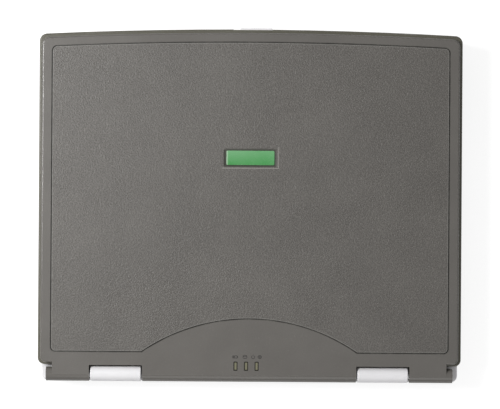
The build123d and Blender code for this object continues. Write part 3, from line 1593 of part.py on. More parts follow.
with BuildPart() as card_blank:
    slab(rounded_plan(card_x, card_y, card_radius), *card_z)
    card_well_x = (card_x[0] + card_well_outer_inset, card_x[1] - card_well_inner_inset)
    card_well_y = grown(card_y, -card_well_side_inset)
    card_well = rounded_plan(card_well_x, card_well_y, card_well_radius)
    slab(card_well, card_z[1] - card_well_depth, card_z[1], Mode.SUBTRACT)
    card_mid_y = (card_y[0] + card_y[1]) / 2
    card_grip_x = (card_x[0] - cut_reach, card_x[0] + grip_reach)
    card_grip_y = grown((card_mid_y, card_mid_y), grip_half_width)
    card_grip = rounded_plan(card_grip_x, card_grip_y, grip_radius)
    slab(card_grip, card_z[0], card_z[0] + grip_rise, Mode.SUBTRACT)
save(card_blank, "card_blank")

with BuildPart() as card_eject:
    button_mid_z = (card_z[0] + card_z[1]) / 2
    button_z = grown((button_mid_z, button_mid_z), card_button_height / 2)
    button_end_x = -base_half_width + button_length
    block((-base_half_width, button_end_x), card_button_y, button_z)
    fillet(card_eject.edges().filter_by(Axis.X), radius=card_button_radius)
    rod_x = (button_end_x - rod_overlap, card_x[1] - rod_end_inset)
    rod_y = (card_button_low_y + rod_offset, card_button_low_y + rod_offset + rod_width)
    rod_z = grown((button_mid_z, button_mid_z), rod_half_height)
    block(rod_x, rod_y, rod_z)
save(card_eject, "card_eject")

# Main board with its chips, sockets and battery contact
chip_height = 1.8
board_radius = 3.0
processor_size = 34.0
processor_inset = (30.0, 34.0)
processor_x = board_x[0] + processor_inset[0]
processor_y = board_y[0] + processor_inset[1]
processor_height = 2.6
socket_size = (70.0, 6.0, 3.4)
socket_inset = 8.0
socket_y = memory_hatch_y[1] - socket_inset
chips = [(62.0, -6.0, 31.0), (112.0, -14.0, 26.0), (150.0, -2.0, 14.0)]
capacitor_radius = 3.0
capacitor_height = 3.6
capacitor_pitch = 8.0
capacitor_count = 4
capacitor_shift = (38.0, 24.0)

module_size = (67.6, 30.0, 1.0)
module_chip = (11.0, 16.0, 1.0)
module_drop = 1.2
module_engage = 1.6
module_radius = 0.6
module_side_gap = 0.2
module_face_gap = 0.1
module_chip_pitch = 15.4
module_chip_count = 4
memory_mid_x = (memory_hatch_x[0] + memory_hatch_x[1]) / 2
module_top_z = board_z[0] - socket_size[2] + module_drop + module_size[2]
module_z = (module_top_z - module_size[2], module_top_z)

with BuildPart() as main_board:
    with BuildSketch(Plane.XY.offset(board_z[0])):
        with Locations(((board_x[0] + board_x[1]) / 2, (board_y[0] + board_y[1]) / 2)):
            RectangleRounded(board_x[1] - board_x[0], board_y[1] - board_y[0], board_radius)
        with Locations(*board_posts):
            Circle(board_screw_hole, mode=Mode.SUBTRACT)
    extrude(amount=board_thickness)
    with BuildSketch(Plane.XY.offset(board_z[1])):
        with Locations((processor_x, processor_y)):
            Rectangle(processor_size, processor_size)
    extrude(amount=processor_height)
    with BuildSketch(Plane.XY.offset(board_z[1])):
        for shift_x, shift_y, chip_side in chips:
            with Locations((processor_x + shift_x, processor_y + shift_y)):
                Rectangle(chip_side, chip_side)
    extrude(amount=chip_height)
    with BuildSketch(Plane.XY.offset(board_z[1])):
        with Locations((processor_x + capacitor_shift[0], processor_y + capacitor_shift[1])):
            with GridLocations(capacitor_pitch, 0, capacitor_count, 1):
                Circle(capacitor_radius)
    extrude(amount=capacitor_height)
    with BuildSketch(Plane.XY.offset(board_z[0])):
        with Locations((memory_mid_x, socket_y)):
            Rectangle(socket_size[0], socket_size[1])
    extrude(amount=-socket_size[2])
    socket_front_y = socket_y - socket_size[1] / 2
    throat_x = grown((memory_mid_x, memory_mid_x), module_size[0] / 2 + module_side_gap)
    throat_y = (socket_front_y, socket_front_y + module_engage + module_side_gap)
    block(throat_x, throat_y, grown(module_z, module_face_gap), mode=Mode.SUBTRACT)
save(main_board, "main_board")

with BuildPart() as memory_module:
    module_rear_y = socket_front_y + module_engage
    module_y = (module_rear_y - module_size[1], module_rear_y)
    module_x = grown((memory_mid_x, memory_mid_x), module_size[0] / 2)
    slab(rounded_plan(module_x, module_y, module_radius), *module_z)
    for chip_low_z in (module_z[0] - module_chip[2], module_z[1]):
        with BuildSketch(Plane.XY.offset(chip_low_z)):
            with Locations((memory_mid_x, (module_y[0] + module_y[1]) / 2)):
                with GridLocations(module_chip_pitch, 0, module_chip_count, 1):
                    Rectangle(module_chip[0], module_chip[1])
        extrude(amount=module_chip[2])
save(memory_module, "memory_module")

# Cooling: blower housing, rotor and heat sink
blower_wall = 0.8
inlet_radius = 17.0
rotor_radius = 20.0
rotor_hub_radius = 9.0
rotor_gap = 0.9
blade_count = 15
blade_thickness = 0.7
blade_sweep = 28.0
axle_radius = 1.2
blower_radius = 6.0
mouth_inset = 6.0
spoke_count = 3
spoke_width = 3.0
rotor_shift = 3.0
blade_middle_share = 0.7
blade_length_share = 0.6
fan_centre = ((fan_x[0] + fan_x[1]) / 2 + rotor_shift, vent_y)

with BuildPart() as fan_housing:
    slab(rounded_plan(fan_x, fan_y, blower_radius), *fan_z)
    blower_x = grown(fan_x, -blower_wall)
    blower_y = grown(fan_y, -blower_wall)
    blower_z = grown(fan_z, -blower_wall)
    inside_plan = rounded_plan(blower_x, blower_y, blower_radius - blower_wall)
    slab(inside_plan, *blower_z, mode=Mode.SUBTRACT)
    outlet_x = (fan_x[0] - cut_reach, fan_x[0] + blower_wall + cut_reach)
    block(outlet_x, grown(fan_y, -mouth_inset), blower_z, mode=Mode.SUBTRACT)
    with BuildSketch(Plane.XY.offset(fan_z[1])):
        with Locations(fan_centre):
            Circle(inlet_radius)
    extrude(amount=-blower_wall, mode=Mode.SUBTRACT)
    with BuildSketch(Plane.XY.offset(fan_z[0])):
        with Locations(fan_centre):
            Circle(inlet_radius)
            Circle(rotor_hub_radius, mode=Mode.SUBTRACT)
            with PolarLocations((inlet_radius + rotor_hub_radius) / 2, spoke_count):
                spoke_length = inlet_radius - rotor_hub_radius + cut_reach
                Rectangle(spoke_length, spoke_width, mode=Mode.SUBTRACT)
    extrude(amount=blower_wall, mode=Mode.SUBTRACT)
    with BuildSketch(Plane.XY.offset(fan_z[0] + blower_wall)):
        with Locations(fan_centre):
            Circle(axle_radius)
    extrude(amount=fan_z[1] - fan_z[0] - 2 * blower_wall - rotor_gap)
save(fan_housing, "fan_housing")

with BuildPart() as fan_rotor:
    rotor_z = grown(fan_z, -blower_wall - rotor_gap)
    with BuildSketch(Plane.XY.offset(rotor_z[0])):
        with Locations(fan_centre):
            Circle(rotor_hub_radius)
            for step in range(blade_count):
                turn = step * 360 / blade_count
                with Locations(Location((0, 0, 0), (0, 0, turn))):
                    blade_x = rotor_radius * blade_middle_share
                    with Locations(Location((blade_x, 0, 0), (0, 0, blade_sweep))):
                        Rectangle(rotor_radius * blade_length_share, blade_thickness)
            Circle(axle_radius + running_gap, mode=Mode.SUBTRACT)
    extrude(amount=rotor_z[1] - rotor_z[0])
save(fan_rotor, "fan_rotor")

fin_thickness = 0.6
fin_pitch = 2.6
fin_count = 19
fin_top_gap = 0.2
fin_cap_height = 0.6
pipe_width = 8.0
pipe_height = 2.6
plate_height = 1.2
plate_margin = 4.0
sink_plate_radius = 3.0
pipe_rear_gap = 5.0
pipe_bend_radius = 9.0
pipe_start_inset = 12.0
sink_plate_z = (board_z[1] + processor_height, board_z[1] + processor_height + plate_height)

with BuildPart() as heat_sink:
    with BuildSketch(Plane.XY.offset(sink_plate_z[0])):
        with Locations((processor_x, processor_y)):
            plate_side = processor_size + 2 * plate_margin
            RectangleRounded(plate_side, plate_side, sink_plate_radius)
    extrude(amount=plate_height)
    fin_z = (fan_z[0], fan_z[1] - fin_top_gap)
    with BuildSketch(Plane.XY.offset(fin_z[0])):
        with Locations(((fin_x[0] + fin_x[1]) / 2, vent_y)):
            with GridLocations(0, fin_pitch, 1, fin_count):
                Rectangle(fin_x[1] - fin_x[0], fin_thickness)
    extrude(amount=fin_z[1] - fin_z[0])
    fin_span = (fin_count - 1) * fin_pitch + fin_thickness
    fin_cap_z = (fin_z[1], fin_z[1] + fin_cap_height)
    block(fin_x, grown((vent_y, vent_y), fin_span / 2), fin_cap_z)
    pipe_end_y = fan_y[1] + pipe_rear_gap
    pipe_z = (sink_plate_z[1], sink_plate_z[1] + pipe_height)
    pipe_x = (fin_x[0] + fin_x[1]) / 2
    with BuildSketch(Plane.XY.offset(pipe_z[0])):
        with BuildLine():
            FilletPolyline(
                (processor_x, processor_y - pipe_start_inset),
                (processor_x, pipe_end_y),
                (pipe_x, pipe_end_y),
                (pipe_x, vent_y - fin_span / 2),
                radius=pipe_bend_radius,
            )
            offset(amount=pipe_width / 2)
        make_face()
    extrude(amount=pipe_height)
save(heat_sink, "heat_sink")

# Speakers below the grilles in the deck
cone_radius = 6.6
cone_rim = 2.0
cone_rim_depth = 1.0
cone_depth = 2.6
cone_offset = 15.0
speaker_radius = 2.5


def build_speaker(side):
    """Speaker box with a round cone opening, screwed below its grille."""
    with BuildPart() as speaker:
        box_z = (deck_under_z - seat_gap - speaker_height, deck_under_z - seat_gap)
        with BuildSketch(Plane.XY.offset(box_z[0])):
            with Locations((side * speaker_offset, strip_y)):
                RectangleRounded(*speaker_size, speaker_radius)
        extrude(amount=speaker_height)
        with Locations((side * speaker_offset, strip_y, box_z[1])):
            with GridLocations(2 * cone_offset, 0, 2, 1):
                CounterBoreHole(cone_radius - cone_rim, cone_radius, cone_rim_depth, cone_depth)
    return speaker


save(build_speaker(-1), "speaker_left")
save(build_speaker(1), "speaker_right")

# Connectors in the rear wall and in the front edge
port_depth = 13.0
port_front_y = rear_y - port_recess
shell_wall = 0.5
usb_wall_depth = 2.0
usb_tongue = 1.8
usb_tongue_drop = 0.7
usb_tongue_inset = 0.6
usb_tongue_setback = 1.0
vga_screw_spacing = 25.0
vga_nut_radius = 2.6
vga_hole_radius = 1.42
vga_shell_size = (16.6, 8.2)
vga_shell_angle = 80.0
vga_shell_radius = 1.8
vga_depth = 10.0
vga_pin_radius = 0.55
vga_pin_pitch = (2.29, 2.0)
vga_pin_stagger = 0.6
vga_pin_count = 5
vga_pin_depth = 4.0
vga_hole_depth = 7.0
rj_depth = 11.0
rj45_size = (11.9, 7.4)
rj11_size = (9.8, 6.6)
network_depth = 16.0
network_wall = 1.6
keyway_share = 0.27
keyway_height = 1.8
power_bore_radius = 2.8
power_pin_radius = 0.8
power_bore_depth = 9.5

with BuildPart() as usb_ports:
    for x_range in usb_x:
        block(x_range, (port_front_y - port_depth, port_front_y), usb_z)
        inner = grown(x_range, -shell_wall)
        inner_z = grown(usb_z, -shell_wall)
        port_low_y = port_front_y - port_depth + usb_wall_depth
        block(inner, (port_low_y, port_front_y + cut_reach), inner_z, mode=Mode.SUBTRACT)
        tongue_top_z = inner_z[1] - usb_tongue_drop
        tongue_y = (port_low_y - root_depth, port_front_y - usb_tongue_setback)
        block(grown(inner, -usb_tongue_inset), tongue_y, (tongue_top_z - usb_tongue, tongue_top_z))
save(usb_ports, "usb_ports")

with BuildPart() as vga_port:
    vga_mid = ((vga_x[0] + vga_x[1]) / 2, (vga_z[0] + vga_z[1]) / 2)
    block(vga_x, (port_front_y - vga_depth, port_front_y), vga_z)
    with BuildSketch(Plane.XZ.offset(-port_front_y)) as shell_section:
        with Locations(vga_mid):
            Trapezoid(*vga_shell_size, vga_shell_angle, rotation=180)
        fillet(shell_section.vertices(), radius=vga_shell_radius)
    extrude(amount=-port_recess)
    with BuildSketch(Plane.XZ.offset(-port_front_y)):
        for step in (-1, 0, 1):
            pin_row = (vga_mid[0] + vga_pin_stagger * step, vga_mid[1] + vga_pin_pitch[1] * step)
            with Locations(pin_row):
                with GridLocations(vga_pin_pitch[0], 0, vga_pin_count, 1):
                    Circle(vga_pin_radius)
    extrude(amount=vga_pin_depth, mode=Mode.SUBTRACT)
    nut_places = [
        (vga_mid[0] + side * vga_screw_spacing / 2, vga_mid[1]) for side in (-1, 1)
    ]
    with BuildSketch(Plane.XZ.offset(-port_front_y)):
        with Locations(*nut_places):
            RegularPolygon(vga_nut_radius, 6)
    extrude(amount=-port_recess)
    with BuildSketch(Plane.XZ.offset(-port_front_y - port_recess)):
        with Locations(*nut_places):
            Circle(vga_hole_radius)
    extrude(amount=vga_hole_depth, mode=Mode.SUBTRACT)
save(vga_port, "vga_port")

with BuildPart() as network_jacks:
    block(network_x, (port_front_y - network_depth, port_front_y), network_z)
    rj45_x = network_x[0] + network_wall
    rj11_x = network_x[1] - network_wall - rj11_size[0]
    rj_low_z = network_z[0] + network_wall
    for low_x, size in ((rj45_x, rj45_size), (rj11_x, rj11_size)):
        mouth_x = (low_x, low_x + size[0])
        mouth_z = (rj_low_z, rj_low_z + size[1])
        mouth_y = (port_front_y - rj_depth, port_front_y + cut_reach)
        block(mouth_x, mouth_y, mouth_z, mode=Mode.SUBTRACT)
        keyway_x = grown(((mouth_x[0] + mouth_x[1]) / 2,) * 2, size[0] * keyway_share)
        block(keyway_x, mouth_y, (mouth_z[1], mouth_z[1] + keyway_height), mode=Mode.SUBTRACT)
save(network_jacks, "network_jacks")

with BuildPart() as power_inlet:
    power_mid = ((power_x[0] + power_x[1]) / 2, (power_z[0] + power_z[1]) / 2)
    block(power_x, (port_front_y - port_depth, port_front_y), power_z)
    with BuildSketch(Plane.XZ.offset(-port_front_y)):
        with Locations(power_mid):
            Circle(power_bore_radius)
            Circle(power_pin_radius, mode=Mode.SUBTRACT)
    extrude(amount=power_bore_depth, mode=Mode.SUBTRACT)
save(power_inlet, "power_inlet")

jack_bore_radius = 1.8
jack_body = (11.0, 12.0, 7.0)
jack_bore_depth = 12.0
jack_body_gap = 1.0
jack_board_thickness = 1.2
jack_board_margin = 8.0
jack_board_depth = 15.0
jack_board_radius = 1.0

jack_board_top_z = jack_z - jack_body[2] / 2
jack_body_y = base_front_y + base_wall + jack_body_gap

with BuildPart() as audio_jacks:
    audio_x = grown(jack_x, jack_board_margin)
    audio_y = (jack_body_y, jack_body_y + jack_board_depth)
    audio_plan = rounded_plan(audio_x, audio_y, jack_board_radius)
    slab(audio_plan, jack_board_top_z - jack_board_thickness, jack_board_top_z)
    for x in jack_x:
        body_x = grown((x, x), jack_body[0] / 2)
        body_z = grown((jack_z, jack_z), jack_body[2] / 2)
        block(body_x, (jack_body_y, jack_body_y + jack_body[1]), body_z)
    with BuildSketch(Plane.XZ.offset(-jack_front_y)):
        with Locations(*[(x, jack_z) for x in jack_x]):
            Circle(jack_ring_radius)
    extrude(amount=-(jack_body_y - jack_front_y))
    with BuildSketch(Plane.XZ.offset(-jack_front_y)):
        with Locations(*[(x, jack_z) for x in jack_x]):
            Circle(jack_bore_radius)
    extrude(amount=-jack_bore_depth, mode=Mode.SUBTRACT)
save(audio_jacks, "audio_jacks")
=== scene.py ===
"""Looks of a portable computer: finishes, key tops and legends, marks, screw heads, light and camera.

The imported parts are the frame. Lengths are in metres, and MM turns millimetres into metres.
"""
import json
from math import pi, radians

import bmesh
import bpy
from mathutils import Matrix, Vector


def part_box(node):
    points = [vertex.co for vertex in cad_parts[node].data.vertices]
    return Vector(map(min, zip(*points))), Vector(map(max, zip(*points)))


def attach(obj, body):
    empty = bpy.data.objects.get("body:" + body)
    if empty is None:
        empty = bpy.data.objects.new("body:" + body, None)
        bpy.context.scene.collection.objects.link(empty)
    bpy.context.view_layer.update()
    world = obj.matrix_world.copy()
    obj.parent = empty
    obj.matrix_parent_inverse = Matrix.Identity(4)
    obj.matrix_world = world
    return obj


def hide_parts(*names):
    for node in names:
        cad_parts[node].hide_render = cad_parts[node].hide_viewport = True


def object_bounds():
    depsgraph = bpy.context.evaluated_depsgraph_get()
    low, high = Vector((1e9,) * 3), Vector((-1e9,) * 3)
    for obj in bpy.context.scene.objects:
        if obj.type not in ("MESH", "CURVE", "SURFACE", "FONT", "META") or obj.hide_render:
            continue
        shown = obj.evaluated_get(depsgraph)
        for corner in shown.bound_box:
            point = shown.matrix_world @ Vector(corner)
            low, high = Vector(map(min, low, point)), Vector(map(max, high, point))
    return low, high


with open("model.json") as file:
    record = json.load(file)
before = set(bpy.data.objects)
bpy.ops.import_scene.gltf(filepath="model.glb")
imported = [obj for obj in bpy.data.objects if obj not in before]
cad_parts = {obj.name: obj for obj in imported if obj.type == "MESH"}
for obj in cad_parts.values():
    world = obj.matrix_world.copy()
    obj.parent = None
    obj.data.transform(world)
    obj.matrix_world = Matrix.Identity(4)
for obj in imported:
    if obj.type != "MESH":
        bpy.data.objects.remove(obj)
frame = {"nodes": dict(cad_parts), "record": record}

cad_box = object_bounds()
MM = 0.001

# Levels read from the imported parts
lid_low, lid_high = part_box("lid_cover")
key_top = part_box("home_row_keys")[1].z
lid_top = lid_high.z
half_width = lid_high.x
rear_edge = lid_high.y
middle_z = (cad_box[0].z + cad_box[1].z) / 2


# Shader helpers
def paint(red, green, blue):
    """Linear colour from the three display values, 0 to 255."""
    shares = [value / 255 for value in (red, green, blue)]
    return tuple(((share + 0.055) / 1.055) ** 2.4 for share in shares) + (1.0,)


def fill(tree, socket, value):
    """Link a socket to another, or set its value."""
    if isinstance(value, bpy.types.NodeSocket):
        tree.links.new(value, socket)
    else:
        socket.default_value = value


def put(tree, kind, **settings):
    """Add a node. A setting named like a socket fills it, any other is a property."""
    made = tree.nodes.new("ShaderNode" + kind)
    for name, value in settings.items():
        socket = made.inputs.get(name.replace("_", " "))
        if socket is None:
            setattr(made, name, value)
        else:
            fill(tree, socket, value)
    return made


def feed(shader, **inputs):
    """Link or set a node's inputs by name."""
    for label, value in inputs.items():
        fill(shader.id_data, shader.inputs[label.replace("_", " ")], value)


def calc(tree, operation, first, second=0.0, clamp=False):
    """One arithmetic step on two values or sockets."""
    made = tree.nodes.new("ShaderNodeMath")
    made.operation = operation
    made.use_clamp = clamp
    fill(tree, made.inputs[0], first)
    fill(tree, made.inputs[1], second)
    return made.outputs[0]


def product(tree, first, *others):
    """Values or sockets multiplied together."""
    for other in others:
        first = calc(tree, "MULTIPLY", first, other)
    return first


def blend(tree, share, first, second, mode="MIX"):
    """Mix two colours by a share."""
    made = tree.nodes.new("ShaderNodeMix")
    made.data_type = "RGBA"
    made.blend_type = mode
    made.clamp_factor = True
    fill(tree, made.inputs[0], share)
    fill(tree, made.inputs[6], first)
    fill(tree, made.inputs[7], second)
    return made.outputs[2]


def spread(tree, value, low, high, new_low=0.0, new_high=1.0):
    """Stretch a value from one range to another, held at both ends."""
    ends = {"From_Min": low, "From_Max": high, "To_Min": new_low, "To_Max": new_high}
    return put(tree, "MapRange", Value=value, **ends).outputs[0]


def between(tree, share, start, end):
    """Value that goes from start to end as a share goes from 0 to 1."""
    return spread(tree, share, 0.0, 1.0, start, end)


def spacing(tree, first, second):
    """How far apart two values are."""
    return calc(tree, "ABSOLUTE", calc(tree, "SUBTRACT", first, second))


def new_group(name, inputs, outputs):
    """Empty node group with named number sockets, and the sockets inside it."""
    tree = bpy.data.node_groups.new(name, "ShaderNodeTree")
    kind = "NodeSocketFloat"
    for label, value in inputs.items():
        tree.interface.new_socket(label, in_out="INPUT", socket_type=kind).default_value = value
    for label in outputs:
        tree.interface.new_socket(label, in_out="OUTPUT", socket_type=kind)
    given, result = tree.nodes.new("NodeGroupInput"), tree.nodes.new("NodeGroupOutput")
    return tree, given.outputs, result.inputs


def use_group(tree, name, **settings):
    """Place a node group in a material with its own values, and hand over its outputs."""
    made = tree.nodes.new("ShaderNodeGroup")
    made.node_tree = bpy.data.node_groups[name]
    for label, value in settings.items():
        fill(tree, made.inputs[label], value)
    return made.outputs


def object_place(tree):
    """Object coordinates."""
    return put(tree, "TexCoord").outputs["Object"]


def axes(tree):
    """The X, Y and Z of the object coordinates."""
    return put(tree, "SeparateXYZ", Vector=object_place(tree)).outputs


def noise(tree, place, scale, detail, roughness=0.6):
    """Noise from 0 to 1."""
    settings = {"Vector": place, "Scale": scale, "Detail": detail, "Roughness": roughness}
    return put(tree, "TexNoise", **settings).outputs["Fac"]


def moved_by(tree, place, offset):
    """The same coordinates moved by an offset, so that two noises don't repeat each other."""
    return put(tree, "Mapping", Vector=place, Location=offset).outputs[0]


def bump(tree, height, distance, strength=1.0):
    """Normal of a surface raised by a height from 0 to 1."""
    return put(tree, "Bump", Height=height, Distance=distance, Strength=strength).outputs[0]


# Node groups shared by the finishes
def build_grain_group():
    """Fine moulded grain: rounded pits and grit. Height is for bump and Shade for colour."""
    tree, given, result = new_group("moulded_grain", {"Size": 0.001}, ("Height", "Shade"))
    place = object_place(tree)
    per_metre = calc(tree, "DIVIDE", 1.0, given["Size"])
    pits = put(tree, "TexVoronoi", Vector=place, Scale=per_metre, feature="SMOOTH_F1", Smoothness=0.6)
    grit = noise(tree, place, product(tree, per_metre, 1.7), 3.0)
    both = calc(tree, "ADD", product(tree, pits.outputs["Distance"], 0.6), grit)
    fill(tree, result["Height"], both)
    fill(tree, result["Shade"], spread(tree, both, 0.45, 1.15, -1.0, 1.0))


def build_wear_group():
    """Rubbed edges: where the surface turns within Width, broken up by noise."""
    tree, given, result = new_group("edge_wear", {"Width": 0.001, "Amount": 0.5}, ("Mask",))
    round_edge = put(tree, "Bevel", samples=6, Radius=given["Width"])
    flat = put(tree, "NewGeometry").outputs["Normal"]
    along = tree.nodes.new("ShaderNodeVectorMath")
    along.operation = "DOT_PRODUCT"
    fill(tree, along.inputs[0], round_edge.outputs[0])
    fill(tree, along.inputs[1], flat)
    turned = spread(tree, along.outputs["Value"], 0.99, 0.8)
    patches = noise(tree, object_place(tree), 120.0, 4.0, 0.65)
    broken = spread(tree, patches, 0.35, 0.7, 0.15, 1.0)
    mask = calc(tree, "MULTIPLY", product(tree, turned, broken), given["Amount"], True)
    fill(tree, result["Mask"], mask)


def build_dust_group():
    """Dust on faces that look up, thicker in patches, with single specks."""
    tree, given, result = new_group("settled_dust", {"Amount": 0.2}, ("Mask",))
    coords = put(tree, "TexCoord")
    split = put(tree, "SeparateXYZ", Vector=coords.outputs["Normal"])
    facing_up = spread(tree, split.outputs["Z"], 0.2, 0.9)
    place = coords.outputs["Object"]
    film = spread(tree, noise(tree, place, 26.0, 5.0), 0.4, 0.75, 0.0, 0.6)
    dots = spread(tree, noise(tree, place, 900.0, 1.0, 0.5), 0.69, 0.74, 0.0, 0.9)
    lying = calc(tree, "MULTIPLY", calc(tree, "ADD", film, dots), facing_up)
    mask = calc(tree, "MULTIPLY", lying, given["Amount"], True)
    fill(tree, result["Mask"], mask)


def build_tone_group():
    """Slow change of tone over a surface, from -1 to 1, and a patchy shine where hands rub."""
    tree, given, result = new_group("uneven_tone", {"Size": 0.08}, ("Tone", "Shine"))
    place = object_place(tree)
    per_metre = calc(tree, "DIVIDE", 1.0, given["Size"])
    slow = noise(tree, place, per_metre, 3.0, 0.55)
    fill(tree, result["Tone"], spread(tree, slow, 0.3, 0.7, -1.0, 1.0))
    apart = moved_by(tree, place, (3.1, 1.7, 0.9))
    rubbed = noise(tree, apart, product(tree, per_metre, 3.0), 4.0)
    fill(tree, result["Shine"], spread(tree, rubbed, 0.35, 0.7))


build_grain_group()
build_wear_group()
build_dust_group()
build_tone_group()


# Finishes
polish_roughness = 0.13


def new_finish(name):
    """New material with its node tree and its Principled shader."""
    material = bpy.data.materials.new(name)
    material.use_nodes = True
    tree = material.node_tree
    return material, tree, tree.nodes["Principled BSDF"]


def moulded(
    name, colour, roughness, grain_size, grain_depth, speckle, mottle,
    wear=0.3, wear_and_highlight_colour=None, dust=0.15, grain_where=None, painted_over=None, polished_where=None,
):
    """Moulded or painted plastic: grain, uneven tone, rubbed edges and a little dust."""
    material, tree, shader = new_finish(name)
    grain = use_group(tree, "moulded_grain", Size=grain_size)
    tone = use_group(tree, "uneven_tone", Size=90 * MM)
    worn = use_group(tree, "edge_wear", Width=0.5 * MM, Amount=wear)
    fallen = use_group(tree, "settled_dust", Amount=dust)
    shade, height = grain["Shade"], grain["Height"]
    if grain_where is not None:
        where = grain_where(tree)
        shade = product(tree, shade, where)
        height = product(tree, height, where)
    speckled = product(tree, shade, speckle)
    brightness = calc(tree, "ADD", product(tree, tone["Tone"], mottle), speckled)
    level = calc(tree, "ADD", brightness, 1.0)
    base = blend(tree, 1.0, colour, level, mode="MULTIPLY")
    if painted_over is not None:
        base = painted_over(tree, base)
    # Pale rubbed edges: real wear, and on the lid also a painted highlight along its edges.
    wear_and_highlight_tint = wear_and_highlight_colour or tuple(min(1.0, part * 1.7 + 0.02) for part in colour[:3]) + (1.0,)
    rubbed = blend(tree, worn["Mask"], base, wear_and_highlight_tint)
    dusty = blend(tree, fallen["Mask"], rubbed, paint(176, 172, 164))
    feed(shader, Base_Color=dusty)
    satin = between(tree, tone["Shine"], roughness + 0.04, roughness - 0.05)
    dulled = calc(tree, "ADD", satin, product(tree, fallen["Mask"], 0.3), True)
    if polished_where is not None:
        rubbed_smooth = polished_where(tree)
        left_dull = calc(tree, "MULTIPLY", dulled, calc(tree, "SUBTRACT", 1.0, rubbed_smooth))
        dulled = calc(tree, "ADD", left_dull, product(tree, rubbed_smooth, polish_roughness))
    feed(shader, Roughness=dulled, Normal=bump(tree, height, grain_depth))
    return material


def sheet_metal(name, colour, roughness, direction, streak=0.12, spots=0.1):
    """Rolled or brushed metal: fine streaks along one axis, and dull spots."""
    material, tree, shader = new_finish(name)
    place = object_place(tree)
    stretched = put(tree, "Mapping", Vector=place, Scale=direction).outputs[0]
    lines = noise(tree, stretched, 1.0, 3.0, 0.7)
    blotches = noise(tree, place, 160.0, 4.0)
    worn = use_group(tree, "edge_wear", Width=0.3 * MM, Amount=0.5)
    level = spread(tree, lines, 0.3, 0.7, 1.0 - streak, 1.0 + streak)
    brushed = blend(tree, 1.0, colour, level, mode="MULTIPLY")
    dull = spread(tree, blotches, 0.55, 0.75, 0.0, spots)
    stained = blend(tree, dull, brushed, paint(90, 84, 76))
    bright = tuple(min(1.0, part * 1.25) for part in colour[:3]) + (1.0,)
    feed(shader, Base_Color=blend(tree, worn["Mask"], stained, bright), Metallic=1.0)
    rough = spread(tree, lines, 0.3, 0.7, roughness - 0.06, roughness + 0.08)
    feed(shader, Roughness=rough, Normal=bump(tree, lines, 0.01 * MM, 0.6))
    return material


# Outline of the grained panel on the lid, as the groove goes round it
front_bow = 4.4 * MM
groove_inset = 10.0 * MM
groove_rear_inset = 23.0 * MM
panel_corner = 4.0 * MM
arch_half_width = 83.7 * MM
arch_rise = 26.0 * MM
lid_front = -137.0 * MM
ledge_level = 34.6 * MM
badge_recess = (42.4 * MM, 15.1 * MM)
badge_y = -36.7 * MM
recess_lip = 1.0 * MM
recess_floor = lid_top - 1.3 * MM
just_under_top = lid_top - 0.2 * MM
crown_low = lid_top - 1.7 * MM
groove_width = 0.8 * MM
skirt_blur = (0.1 * MM, 0.9 * MM)
bow_radius = (half_width**2 + front_bow**2) / (2 * front_bow)
bow_centre = lid_front + bow_radius
arch_radius = (arch_half_width**2 + arch_rise**2) / (2 * arch_rise)
arch_centre = rear_edge - groove_rear_inset - arch_rise + arch_radius


def hypotenuse(tree, x, y):
    """Length of a line from its reach along two axes."""
    return calc(tree, "SQRT", calc(tree, "ADD", product(tree, x, x), product(tree, y, y)))


def round_distance(tree, x, y, centre_y):
    """Distance from a point on the middle line."""
    return hypotenuse(tree, x, calc(tree, "SUBTRACT", y, centre_y))


def depth_in_panel(tree):
    """How far inside the outline of the lid's grained panel a point is, less than 0 outside it."""
    at = axes(tree)
    x = calc(tree, "ABSOLUTE", at["X"])
    y = at["Y"]
    past_side = calc(tree, "SUBTRACT", x, half_width - groove_inset - panel_corner)
    past_rear = calc(tree, "SUBTRACT", y, rear_edge - groove_rear_inset - panel_corner)
    from_bow = round_distance(tree, x, y, bow_centre)
    past_front = calc(tree, "SUBTRACT", from_bow, bow_radius - groove_inset - panel_corner)
    side = calc(tree, "MAXIMUM", past_side, 0.0)
    end = calc(tree, "MAXIMUM", calc(tree, "MAXIMUM", past_rear, past_front), 0.0)
    from_rim = calc(tree, "SUBTRACT", panel_corner, hypotenuse(tree, side, end))
    from_arch = calc(tree, "SUBTRACT", round_distance(tree, x, y, arch_centre), arch_radius)
    return calc(tree, "MINIMUM", from_rim, from_arch)


def above(tree, level):
    """1 above a height, 0 below it."""
    return calc(tree, "GREATER_THAN", axes(tree)["Z"], level)


rim_grain = 0.22


def inside_groove(tree):
    """1 on the grained panel of the lid's top, less on its smoother rim and arch."""
    past_groove = spread(tree, depth_in_panel(tree), 0.6 * MM, 0.9 * MM)
    panel = product(tree, past_groove, above(tree, just_under_top))
    return between(tree, panel, rim_grain, 1.0)


def crown_edge(tree):
    """1 on the rounded edge of the lid's crown, which hands rub smooth."""
    outside = spread(tree, depth_in_panel(tree), -2.2 * MM, -1.8 * MM, 1.0, 0.0)
    below_flat = calc(tree, "SUBTRACT", 1.0, above(tree, lid_top - 0.015 * MM))
    return product(tree, outside, below_flat, above(tree, crown_low))


